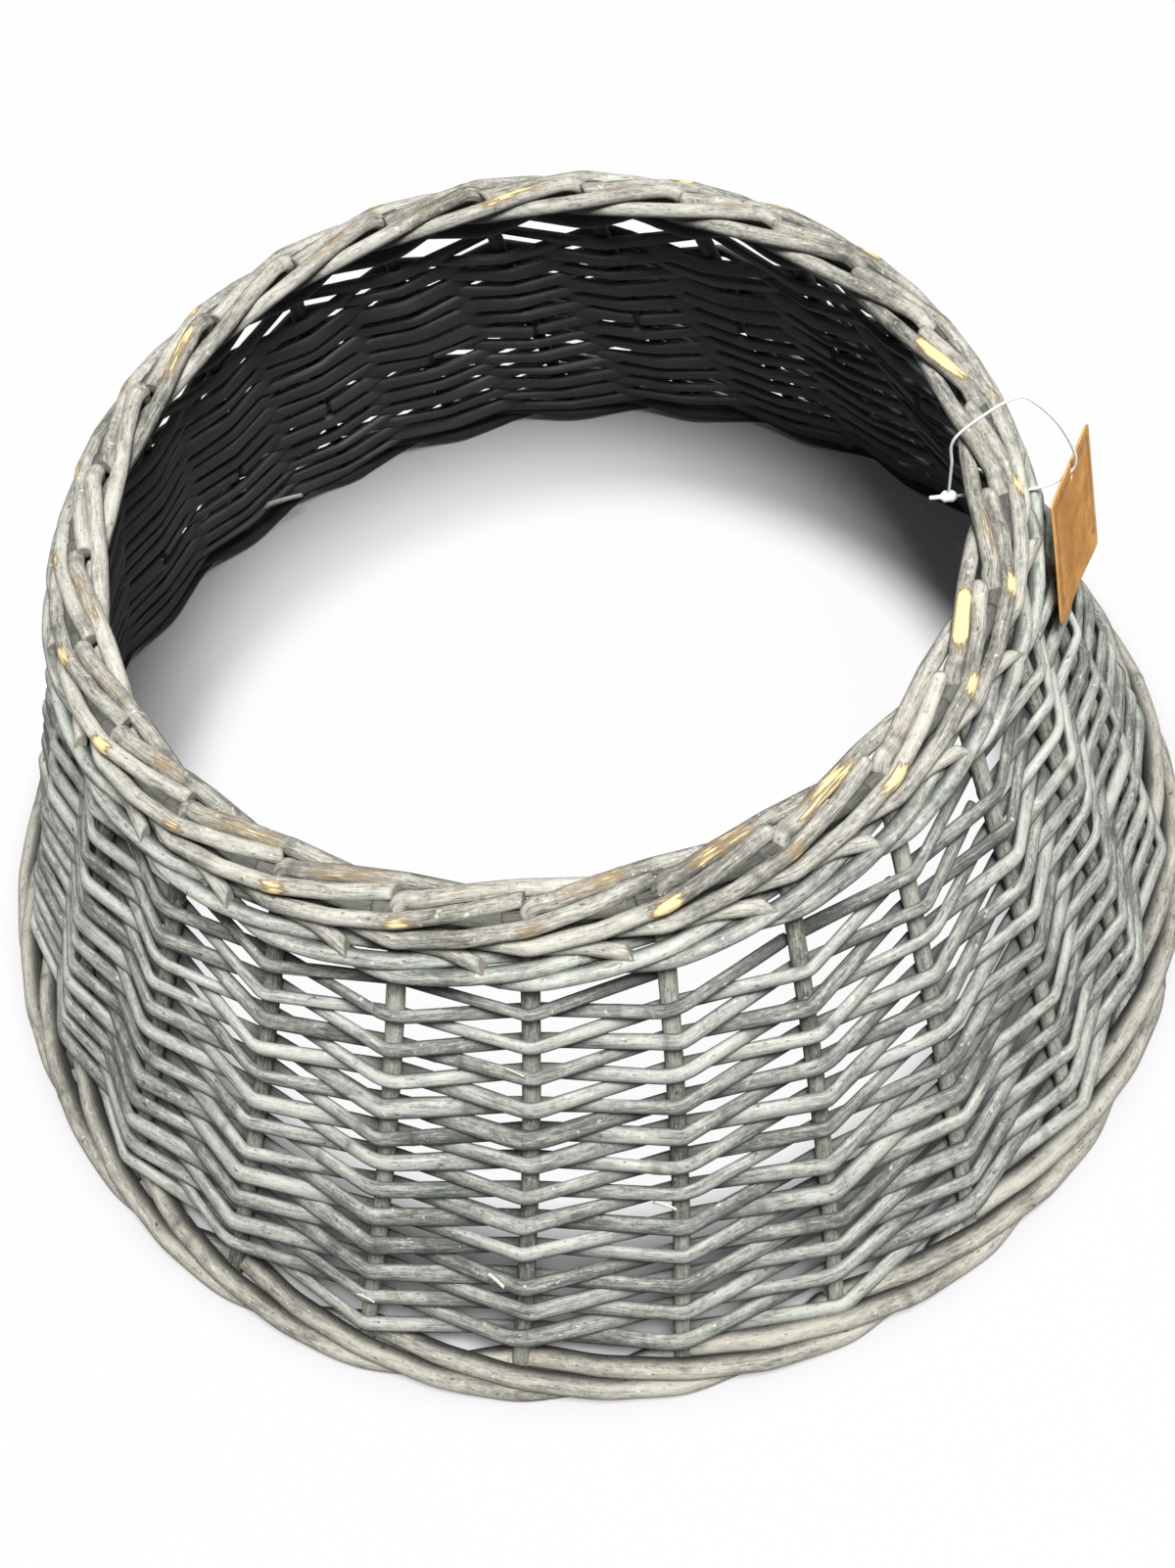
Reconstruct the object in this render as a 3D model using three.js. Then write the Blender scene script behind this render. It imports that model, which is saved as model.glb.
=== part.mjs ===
// Christmas tree collar: a willow basket ring, wide at the floor and narrow at the neck.
// Units are millimetres, +Z is up, and the origin is on the floor on the collar's axis.
// An azimuth is measured about +Z from the front, which is -Y, towards +X.

import * as THREE from 'three';

// Driving sizes of the collar
const STAKE_COUNT = 25;
const FRONT_STAKE_DEGREES = -0.5;
const COLLAR_HEIGHT = 250;
const FOOT_RING_RADIUS = 274;
const NECK_RING_RADIUS = 184;
const WALL_TWIST_DEGREES = 6.6;
const CLEARANCE = 0.3;

// Driving sizes of the rods
const STAKE_DIAMETER = 7;
const STAKE_FOOT_HEIGHT = 1.5;
const STAKE_STEPS = 4;
const BORDER_ROD_DIAMETER = 6.8;
const BORDER_ROD_PITCHES = 5.07;
const ELBOW_BEND_SHARE = 1.3;
const WEAVER_COUNT = 25;
const WEAVER_WIDTH = 6.8;
const WEAVER_THICKNESS = 3.4;
const ROD_END_GAP = 1.6;
const BASE_ROD_DIAMETER = 8.6;
const BASE_ROD_SIDES = 8;
const BASE_FLAT_DEPTH = 0.5;
const WALE_ROD_DIAMETER = 5.4;

// Driving sizes of the swing tag and its nylon loop
const TAG_PITCHES = 5.34;
const TAG_WIDTH = 60;
const TAG_LENGTH = 58;
const TAG_THICKNESS = 0.8;
const TAG_CORNER_RADIUS = 2;
const TAG_HOLE_DIAMETER = 4;
const TAG_HOLE_INSET = 5;
const TAG_OFF_WALL_DEGREES = 8;
const TAG_YAW_DEGREES = 21.2;
const TAG_ROLL_DEGREES = -14;
const TAG_STANDOFF = 16.2;
const TAG_HANG_RISE = 8.4;
const FILAMENT_DIAMETER = 1.2;
const FILAMENT_HOLE_GAP = 0.5;
const FILAMENT_WALL_GAP = 0.4;
const FILAMENT_SEAT_DROP = 1.4;
const LOOP_HEADROOM = 30;
const LOOP_BULGE = 3.5;
const LOOP_WALL_GAP = 0.7;
const LOCK_DIAMETER = 4.8;
const LOCK_LENGTH = 6.4;
const LOCK_PIN_DIAMETER = 1.8;
const LOCK_PIN_LENGTH = 4.4;
const LOOP_STEPS = 44;

// Worked out sizes
const PITCH_ANGLE = 2 * Math.PI / STAKE_COUNT;
const FRONT_ANGLE = THREE.MathUtils.degToRad(FRONT_STAKE_DEGREES);
const WALL_TWIST = THREE.MathUtils.degToRad(WALL_TWIST_DEGREES);
const STAKE_RADIUS = STAKE_DIAMETER / 2;
const BORDER_ROD_RADIUS = BORDER_ROD_DIAMETER / 2;

// The border is a rope of rods round a core circle. Each row gives a rod's place at a stake or
// halfway between two: pitches from its own stake, then how far out and how far up from the core,
// both in shares of the spacing of two rods that lie side by side. The rod runs from its elbow to
// the inner edge and dives under the border. It comes up outside, has its sharp outer corner at
// the fourth later stake, and ends on the inner side of the fifth.
const BORDER_SPACING = BORDER_ROD_DIAMETER + CLEARANCE;
const BORDER_HEIGHT_SHARE = 1;
const BORDER_DEPTH_SHARE = 1;
const BORDER_INNER_SHARE = 2.21;
const BORDER_INNER_RISE_SHARE = 0.45;
const BORDER_OUTER_SHARE = 1.2;
const BORDER_ROUTE = [
  [0.15, -0.06, BORDER_HEIGHT_SHARE],
  [0.5, -0.86, 0.96],
  [1, -BORDER_INNER_SHARE, BORDER_INNER_RISE_SHARE],
  [1.5, -1.75, -0.1],
  [2, -1.2, -0.6],
  [2.5, 0.05, -BORDER_DEPTH_SHARE],
  [3, BORDER_OUTER_SHARE, -0.6],
  [3.5, 1.05, 0],
  [4, 1.13, 0.59],
  [4.5, 0.23, 0.77],
  [5, -1.02, 0.92],
  [BORDER_ROD_PITCHES, -1.1, 0.91],
];
const BORDER_TOP_RISE = BORDER_HEIGHT_SHARE * BORDER_SPACING + BORDER_ROD_RADIUS;
const BORDER_CORE_HEIGHT = COLLAR_HEIGHT - BORDER_TOP_RISE;
const BORDER_BOTTOM = BORDER_CORE_HEIGHT - BORDER_DEPTH_SHARE * BORDER_SPACING - BORDER_ROD_RADIUS;

// A wale is three rods. Each passes outside two stakes and inside the third, and over three
// pitches its place goes once through these steps of half a pitch.
const WALE_RODS = 3;
const WALE_OUT_STEPS = [-1, 0, 1, 1.08, 1, 0];
const WALE_RISE_STEPS = [0, -1, -1, 0, 1, 1];
const WALE_RISE_SHARE = 0.57;
const WALE_CLEARANCE = 2 * CLEARANCE;

const BASE_RISE = (BASE_ROD_DIAMETER + CLEARANCE) * WALE_RISE_SHARE;
const BASE_ROD_DEPTH = BASE_ROD_DIAMETER / 2 * Math.cos(Math.PI / BASE_ROD_SIDES);
const BASE_WALE_HEIGHT = BASE_RISE + BASE_ROD_DEPTH - BASE_FLAT_DEPTH;
const BASE_WALE_TOP = BASE_WALE_HEIGHT + BASE_RISE + BASE_ROD_DIAMETER / 2;
const WALE_RISE = (WALE_ROD_DIAMETER + CLEARANCE) * WALE_RISE_SHARE;
const WALE_TOP = BORDER_BOTTOM - FILAMENT_DIAMETER - 2 * FILAMENT_WALL_GAP;

const WALL_SLOPE = (FOOT_RING_RADIUS - NECK_RING_RADIUS) / (BORDER_CORE_HEIGHT - BASE_WALE_HEIGHT);
const WALL_ANGLE = Math.atan(WALL_SLOPE);
const WALE_HALF_HEIGHT = WALE_RISE + WALE_ROD_DIAMETER / 2 + WALE_ROD_DIAMETER * Math.sin(WALL_ANGLE);
const WALE_HEIGHT = WALE_TOP - WALE_HALF_HEIGHT;
const WALE_BOTTOM = WALE_HEIGHT - WALE_HALF_HEIGHT;
const WEAVE_OFFSET = (STAKE_RADIUS + CLEARANCE) / Math.cos(PITCH_ANGLE) + WEAVER_THICKNESS / 2;
const ROW_MARGIN = CLEARANCE + WEAVER_WIDTH / 2 + WEAVE_OFFSET * Math.sin(WALL_ANGLE);
const FIRST_ROW_HEIGHT = BASE_WALE_TOP + ROW_MARGIN;
const LAST_ROW_HEIGHT = WALE_BOTTOM - ROW_MARGIN;
const WEAVER_PITCHES = STAKE_COUNT - 1;
const ROW_TURNS = WEAVER_COUNT * WEAVER_PITCHES / STAKE_COUNT;
const ROW_PITCH = (LAST_ROW_HEIGHT - FIRST_ROW_HEIGHT) / ROW_TURNS;

// The nylon loop passes out under the border, where it lies on the neck wale a little past the
// wale's highest place, and the tag hangs outside on it
const LOOP_HEIGHT = (BORDER_BOTTOM + WALE_TOP) / 2 - FILAMENT_SEAT_DROP;
const LOOP_TOP = COLLAR_HEIGHT + LOOP_HEADROOM;
const LOOP_RISE = LOOP_TOP - LOOP_HEIGHT;
const BORDER_INNER_RING = NECK_RING_RADIUS - WALL_SLOPE * BORDER_INNER_RISE_SHARE * BORDER_SPACING;
const BORDER_INNER_RADIUS = BORDER_INNER_RING - BORDER_INNER_SHARE * BORDER_SPACING - BORDER_ROD_RADIUS;
const BORDER_OUTER_RADIUS = NECK_RING_RADIUS + BORDER_OUTER_SHARE * BORDER_SPACING + BORDER_ROD_RADIUS;
const TAG_HANG_RADIUS = BORDER_OUTER_RADIUS + TAG_STANDOFF;
const TAG_HANG_HEIGHT = LOOP_HEIGHT + TAG_HANG_RISE;
const TAG_LEAN = WALL_ANGLE - THREE.MathUtils.degToRad(TAG_OFF_WALL_DEGREES);
const LOCK_RADIUS = BORDER_INNER_RADIUS - FILAMENT_DIAMETER / 2 - LOOP_WALL_GAP;

// Finishes
const STAKE_COLOUR = 0x8b887d;
const WEAVER_COLOUR = 0x8d8f88;
const BASE_COLOUR = 0xa39c8f;
const CARD_COLOUR = 0xb77b45;
const NYLON_COLOUR = 0xe9eaea;

function finish(colour, roughness) {
  return new THREE.MeshStandardMaterial({ color: colour, roughness, metalness: 0 });
}

function named(name, geometry, material) {
  const mesh = new THREE.Mesh(geometry, material);
  mesh.name = name;
  return mesh;
}

function numbered(name, index) {
  return `${name}_${String(index + 1).padStart(2, '0')}`;
}

function outwardAt(angle) {
  return new THREE.Vector3(Math.sin(angle), -Math.cos(angle), 0);
}

function polar(angle, radius, height) {
  return outwardAt(angle).multiplyScalar(radius).setZ(height);
}

// Radius of the stakes' cone at a height
function wallRadius(height) {
  return FOOT_RING_RADIUS - WALL_SLOPE * (height - BASE_WALE_HEIGHT);
}

// The wall's outward normal, tilted up because the wall leans in
function wallNormal(angle) {
  return outwardAt(angle).multiplyScalar(Math.cos(WALL_ANGLE)).setZ(Math.sin(WALL_ANGLE));
}

// Azimuth of a stake, or of a place between two, at a height: the stakes slant as they rise
function stakeAngle(pitches, height) {
  const risen = (height - BASE_WALE_HEIGHT) / (BORDER_CORE_HEIGHT - BASE_WALE_HEIGHT);
  return FRONT_ANGLE + pitches * PITCH_ANGLE + risen * WALL_TWIST;
}

// A round rod's section, as points of a polygon in the plane across it
function roundSection(radius, sides) {
  const section = [];
  for (let k = 0; k < sides; k += 1) {
    const turn = 2 * Math.PI * (k + 0.5) / sides;
    section.push([radius * Math.cos(turn), radius * Math.sin(turn)]);
  }
  return section;
}

// A split rod's section: flat on the inner side and arched on the outer side
function splitSection(thickness, width) {
  const half = thickness / 2;
  return [
    [-half, -0.5 * width],
    [half * 0.3, -0.46 * width],
    [half, 0],
    [half * 0.3, 0.46 * width],
    [-half, 0.5 * width],
  ];
}

// Carries a section along a route of points, each with the direction that the section's first
// axis faces, and closes both ends. Nothing goes below the floor, so a rod that lies on it is flat.
function rodGeometry(route, section) {
  const positions = [];
  const index = [];
  const sides = section.length;
  route.forEach(({ point, facing, scale = 1 }, i) => {
    const before = route[Math.max(i - 1, 0)].point;
    const after = route[Math.min(i + 1, route.length - 1)].point;
    const along = after.clone().sub(point).normalize();
    along.add(point.clone().sub(before).normalize()).normalize();
    const out = facing.clone().addScaledVector(along, -facing.dot(along)).normalize();
    const across = along.clone().cross(out);
    for (const [u, v] of section) {
      const corner = point.clone().addScaledVector(out, u * scale).addScaledVector(across, v * scale);
      positions.push(corner.x, corner.y, Math.max(corner.z, 0));
    }
  });
  for (let i = 0; i + 1 < route.length; i += 1) {
    for (let k = 0; k < sides; k += 1) {
      const next = (k + 1) % sides;
      const a = i * sides + k;
      const b = i * sides + next;
      index.push(a, b, b + sides, a, b + sides, a + sides);
    }
  }
  const last = (route.length - 1) * sides;
  for (let k = 1; k + 1 < sides; k += 1) {
    index.push(0, k + 1, k);
    index.push(last, last + k, last + k + 1);
  }
  const geometry = new THREE.BufferGeometry();
  geometry.setAttribute('position', new THREE.Float32BufferAttribute(positions, 3));
  geometry.setIndex(index);
  geometry.computeVertexNormals();
  return geometry;
}

// A stake stands in the wall, bends over at the neck and makes its own stretch of the border
function stakeRoute(stake) {
  const route = [];
  const elbow = BORDER_ROD_RADIUS * ELBOW_BEND_SHARE;
  const bend = BORDER_CORE_HEIGHT + BORDER_SPACING - elbow;
  const thick = BORDER_ROD_RADIUS / STAKE_RADIUS;
  for (let step = 0; step <= STAKE_STEPS; step += 1) {
    const height = THREE.MathUtils.lerp(STAKE_FOOT_HEIGHT, WALE_BOTTOM, step / STAKE_STEPS);
    const angle = stakeAngle(stake, height);
    route.push({ point: polar(angle, wallRadius(height), height), facing: wallNormal(angle) });
  }
  const angle = stakeAngle(stake, bend);
  route.push({ point: polar(angle, wallRadius(bend), bend), facing: wallNormal(angle) });
  const rise = elbow * Math.SQRT1_2;
  const turn = (elbow - rise) / NECK_RING_RADIUS;
  const shoulder = bend + rise;
  route.push({
    point: polar(angle + turn, wallRadius(shoulder) + BORDER_ROUTE[0][1] * BORDER_SPACING, shoulder),
    facing: outwardAt(angle),
    scale: thick,
  });
  for (const [pitches, out, up] of BORDER_ROUTE) {
    const level = BORDER_CORE_HEIGHT + up * BORDER_SPACING;
    const at = stakeAngle(stake + pitches, level);
    route.push({
      point: polar(at, wallRadius(level) + out * BORDER_SPACING, level),
      facing: outwardAt(at),
      scale: thick,
    });
  }
  return route;
}

function stake(index) {
  const section = roundSection(STAKE_RADIUS, 6);
  const geometry = rodGeometry(stakeRoute(index), section);
  return named(numbered('stake', index), geometry, finish(STAKE_COLOUR, 0.85));
}

// One rod of the three that make a wale. It starts behind one stake and ends where the next
// round's rod takes its place. The wale is tilted about its ring, and climbs or falls as it turns.
function waleRoute(rod, { height, reach, rise, tilt }) {
  const last = STAKE_COUNT + THREE.MathUtils.euclideanModulo(rod - STAKE_COUNT, WALE_RODS);
  const radius = wallRadius(height);
  const route = [];
  for (let half = 2 * rod; half <= 2 * last; half += 1) {
    const step = (half - 2 * rod) % (2 * WALE_RODS);
    const out = WALE_OUT_STEPS[step] * reach;
    const up = WALE_RISE_STEPS[step] * rise;
    const ring = radius + out * Math.cos(tilt) - up * Math.sin(tilt);
    const level = height + out * Math.sin(tilt) + up * Math.cos(tilt);
    let angle = stakeAngle(half / 2, level);
    if (half === 2 * rod) angle += ROD_END_GAP / radius;
    if (half === 2 * last) angle -= ROD_END_GAP / radius;
    route.push({ point: polar(angle, ring, level), facing: outwardAt(angle) });
  }
  return route;
}

// The base wale lies level on the floor, so it stands further off the leaning stakes
function baseRod(rod) {
  const radius = BASE_ROD_DIAMETER / 2;
  const beside = (STAKE_RADIUS + radius + WALE_CLEARANCE) / Math.cos(WALL_ANGLE);
  const route = waleRoute(rod, {
    height: BASE_WALE_HEIGHT,
    reach: beside + BASE_RISE * Math.tan(WALL_ANGLE),
    rise: -BASE_RISE,
    tilt: 0,
  });
  const geometry = rodGeometry(route, roundSection(radius, BASE_ROD_SIDES));
  return named(`base_rod_${rod + 1}`, geometry, finish(BASE_COLOUR, 0.85));
}

function neckWaleRod(rod) {
  const radius = WALE_ROD_DIAMETER / 2;
  const route = waleRoute(rod, {
    height: WALE_HEIGHT,
    reach: STAKE_RADIUS + radius + WALE_CLEARANCE,
    rise: WALE_RISE,
    tilt: WALL_ANGLE,
  });
  const geometry = rodGeometry(route, roundSection(radius, 6));
  return named(`neck_wale_rod_${rod + 1}`, geometry, finish(WEAVER_COLOUR, 0.85));
}

// A weaver passes outside one stake and inside the next, and climbs one row in a whole turn
function weaverRoute(weaver) {
  const first = weaver * WEAVER_PITCHES;
  const last = first + WEAVER_PITCHES;
  const route = [];
  for (let crossing = first; crossing <= last; crossing += 1) {
    const height = FIRST_ROW_HEIGHT + ROW_PITCH * crossing / STAKE_COUNT;
    const ring = wallRadius(height);
    const side = crossing % 2 === 1 ? 1 : -1;
    let angle = stakeAngle(crossing, height);
    if (crossing === first) angle += ROD_END_GAP / ring;
    if (crossing === last) angle -= ROD_END_GAP / ring;
    const facing = wallNormal(angle);
    route.push({ point: polar(angle, ring, height).addScaledVector(facing, side * WEAVE_OFFSET), facing });
  }
  return route;
}

function weaver(index) {
  const section = splitSection(WEAVER_THICKNESS, WEAVER_WIDTH);
  const geometry = rodGeometry(weaverRoute(index), section);
  return named(numbered('weaver', index), geometry, finish(WEAVER_COLOUR, 0.85));
}

// The nylon filament, as places in the upright plane through the collar's axis: radius and height.
// It leaves the lock, runs out under the border, turns up through the tag and comes back over.
function loopGeometry() {
  const places = [
    [LOCK_RADIUS + LOCK_LENGTH / 2 + CLEARANCE, LOOP_HEIGHT],
    [NECK_RING_RADIUS, LOOP_HEIGHT],
    [BORDER_OUTER_RADIUS, LOOP_HEIGHT],
    [TAG_HANG_RADIUS - 0.4 * TAG_STANDOFF, LOOP_HEIGHT + 0.3 * TAG_HANG_RISE],
    [TAG_HANG_RADIUS, TAG_HANG_HEIGHT],
    [TAG_HANG_RADIUS + LOOP_BULGE, TAG_HANG_HEIGHT + 0.12 * LOOP_RISE],
    [TAG_HANG_RADIUS + LOOP_BULGE, TAG_HANG_HEIGHT + 0.28 * LOOP_RISE],
    [BORDER_OUTER_RADIUS + 0.7 * TAG_STANDOFF, LOOP_TOP - 0.3 * LOOP_RISE],
    [BORDER_OUTER_RADIUS, LOOP_TOP - 0.07 * LOOP_RISE],
    [NECK_RING_RADIUS + LOOP_BULGE, LOOP_TOP],
    [NECK_RING_RADIUS - 2 * LOOP_BULGE, LOOP_TOP - 0.13 * LOOP_RISE],
    [LOCK_RADIUS, LOOP_TOP - 0.38 * LOOP_RISE],
    [LOCK_RADIUS, LOOP_HEIGHT + 0.35 * LOOP_RISE],
    [LOCK_RADIUS, LOOP_HEIGHT + LOCK_DIAMETER / 2 + CLEARANCE],
  ];
  const curve = new THREE.CatmullRomCurve3(places.map(([r, z]) => new THREE.Vector3(0, -r, z)));
  const facing = new THREE.Vector3(1, 0, 0);
  const route = curve.getSpacedPoints(LOOP_STEPS).map((point) => ({ point, facing }));
  return rodGeometry(route, roundSection(FILAMENT_DIAMETER / 2, 6));
}

// The barrel that joins the filament's two ends, with its short pin towards the axis
function lockGeometry() {
  const barrel = LOCK_DIAMETER / 2;
  const shoulder = LOCK_DIAMETER / 4;
  const half = LOCK_LENGTH / 2;
  const pin = LOCK_PIN_DIAMETER / 2;
  const profile = [
    [0, -half],
    [barrel - shoulder, -half],
    [barrel, shoulder - half],
    [barrel, half - shoulder],
    [pin, half],
    [pin, half + LOCK_PIN_LENGTH],
    [0, half + LOCK_PIN_LENGTH],
  ];
  return new THREE.LatheGeometry(profile.map(([x, y]) => new THREE.Vector2(x, y)), 12);
}

// The card, drawn from where the filament crosses it: width along x, upwards along y
function tagGeometry() {
  const drop = (TAG_HOLE_DIAMETER - FILAMENT_DIAMETER) / 2 - FILAMENT_HOLE_GAP;
  const right = TAG_WIDTH / 2;
  const top = TAG_HOLE_INSET - drop;
  const bottom = top - TAG_LENGTH;
  const r = TAG_CORNER_RADIUS;
  const card = new THREE.Shape();
  card.moveTo(-right + r, bottom);
  card.absarc(right - r, bottom + r, r, -Math.PI / 2, 0);
  card.absarc(right - r, top - r, r, 0, Math.PI / 2);
  card.absarc(-right + r, top - r, r, Math.PI / 2, Math.PI);
  card.absarc(-right + r, bottom + r, r, Math.PI, 1.5 * Math.PI);
  const hole = new THREE.Path();
  hole.absarc(0, -drop, TAG_HOLE_DIAMETER / 2, 0, 2 * Math.PI, true);
  card.holes.push(hole);
  const geometry = new THREE.ExtrudeGeometry(card, {
    depth: TAG_THICKNESS,
    bevelEnabled: false,
    curveSegments: 4,
  });
  return geometry.translate(0, 0, -TAG_THICKNESS / 2);
}

// The loop, its lock and the tag, turned together to their place on the rim
function labelGroup() {
  const group = new THREE.Group();
  group.rotation.z = stakeAngle(TAG_PITCHES, LOOP_HEIGHT);
  group.add(named('tag_loop', loopGeometry(), finish(NYLON_COLOUR, 0.3)));
  const lock = named('loop_lock', lockGeometry(), finish(NYLON_COLOUR, 0.35));
  lock.position.set(0, -LOCK_RADIUS, LOOP_HEIGHT);
  group.add(lock);
  const hanger = new THREE.Group();
  hanger.position.set(0, -TAG_HANG_RADIUS, TAG_HANG_HEIGHT);
  hanger.rotation.z = -THREE.MathUtils.degToRad(TAG_YAW_DEGREES);
  const tag = named('swing_tag', tagGeometry(), finish(CARD_COLOUR, 0.8));
  tag.rotation.x = Math.PI / 2 - TAG_LEAN;
  tag.rotation.z = THREE.MathUtils.degToRad(TAG_ROLL_DEGREES);
  hanger.add(tag);
  group.add(hanger);
  return group;
}

const collar = new THREE.Group();
for (let i = 0; i < STAKE_COUNT; i += 1) collar.add(stake(i));
for (let i = 0; i < WEAVER_COUNT; i += 1) collar.add(weaver(i));
for (let i = 0; i < WALE_RODS; i += 1) {
  collar.add(baseRod(i));
  collar.add(neckWaleRod(i));
}
collar.add(labelGroup());

export default collar;
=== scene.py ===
"""Christmas tree collar of grey-washed willow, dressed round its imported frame.

Lengths are metres, +Z is up, and an azimuth is measured from the front (-Y) towards +X.
"""

import logging
import math
from dataclasses import dataclass, field
from enum import Enum

import bpy
import numpy as np
from mathutils import Matrix, Vector


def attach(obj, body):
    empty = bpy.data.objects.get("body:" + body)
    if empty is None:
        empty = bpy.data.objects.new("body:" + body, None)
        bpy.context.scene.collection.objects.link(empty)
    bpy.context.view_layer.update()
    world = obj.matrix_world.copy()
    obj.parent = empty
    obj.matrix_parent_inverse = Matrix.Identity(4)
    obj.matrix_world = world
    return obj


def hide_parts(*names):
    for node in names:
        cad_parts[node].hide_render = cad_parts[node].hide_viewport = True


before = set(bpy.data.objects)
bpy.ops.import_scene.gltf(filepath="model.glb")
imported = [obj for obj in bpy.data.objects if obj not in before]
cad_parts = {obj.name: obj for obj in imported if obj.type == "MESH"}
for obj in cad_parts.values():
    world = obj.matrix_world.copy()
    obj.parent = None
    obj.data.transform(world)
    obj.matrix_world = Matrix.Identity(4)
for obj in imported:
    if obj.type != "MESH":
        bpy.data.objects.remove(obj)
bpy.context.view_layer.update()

LOG = logging.getLogger("collar")
MM = 0.001
UP = np.array([0.0, 0.0, 1.0])
WHITE = (1.0, 1.0, 1.0)
COLLAR_BODY = "collar"
LOOP_BODY = "label_loop"
LABEL_BODY = "label"
GRAIN_MAP = "grain"
LOOP_PITCHES = 5.34
NOISE_ROUGHNESS = 0.6
NOISE_MIDDLE = 0.5

Array = np.ndarray
Colour = tuple[float, float, float]
Span = tuple[float, float]
Socket = bpy.types.NodeSocket
Material = bpy.types.Material


class Slot(Enum):
    """The material slots."""

    STAKE = "stake_rod"
    WEAVER = "weaver_rod"
    BASE = "base_rod"
    NYLON = "nylon"
    CARD = "card"


# Shader maths


class Value:
    """A number on its way through a material: an expression on it adds its Math nodes."""

    def __init__(self, nodes: "NodeMaker", socket: Socket) -> None:
        """Wraps one output socket."""
        self.nodes = nodes
        self.socket = socket

    def _join(self, operation: str, first: object, second: object) -> "Value":
        """Adds one Math node on two operands, each a Value or a plain number."""
        return self.nodes.number("ShaderNodeMath", {"operation": operation}, {0: first, 1: second})

    def __add__(self, other: object) -> "Value":
        """self + other."""
        return self._join("ADD", self, other)

    def __radd__(self, other: object) -> "Value":
        """other + self."""
        return self._join("ADD", other, self)

    def __sub__(self, other: object) -> "Value":
        """self - other."""
        return self._join("SUBTRACT", self, other)

    def __rsub__(self, other: object) -> "Value":
        """other - self."""
        return self._join("SUBTRACT", other, self)

    def __mul__(self, other: object) -> "Value":
        """self * other."""
        return self._join("MULTIPLY", self, other)

    def __rmul__(self, other: object) -> "Value":
        """other * self."""
        return self._join("MULTIPLY", other, self)

    def swing(self, weight: float) -> "Value":
        """A noise's swing to both sides of its middle, weighted."""
        return weight * (self - NOISE_MIDDLE)

    def step(self, low: float, high: float) -> "Value":
        """Rises smoothly from 0 at low to 1 at high, and is held there."""
        inputs = {"Value": self, "From Min": low, "From Max": high}
        return self.nodes.number("ShaderNodeMapRange", {"interpolation_type": "SMOOTHSTEP"}, inputs)


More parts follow.
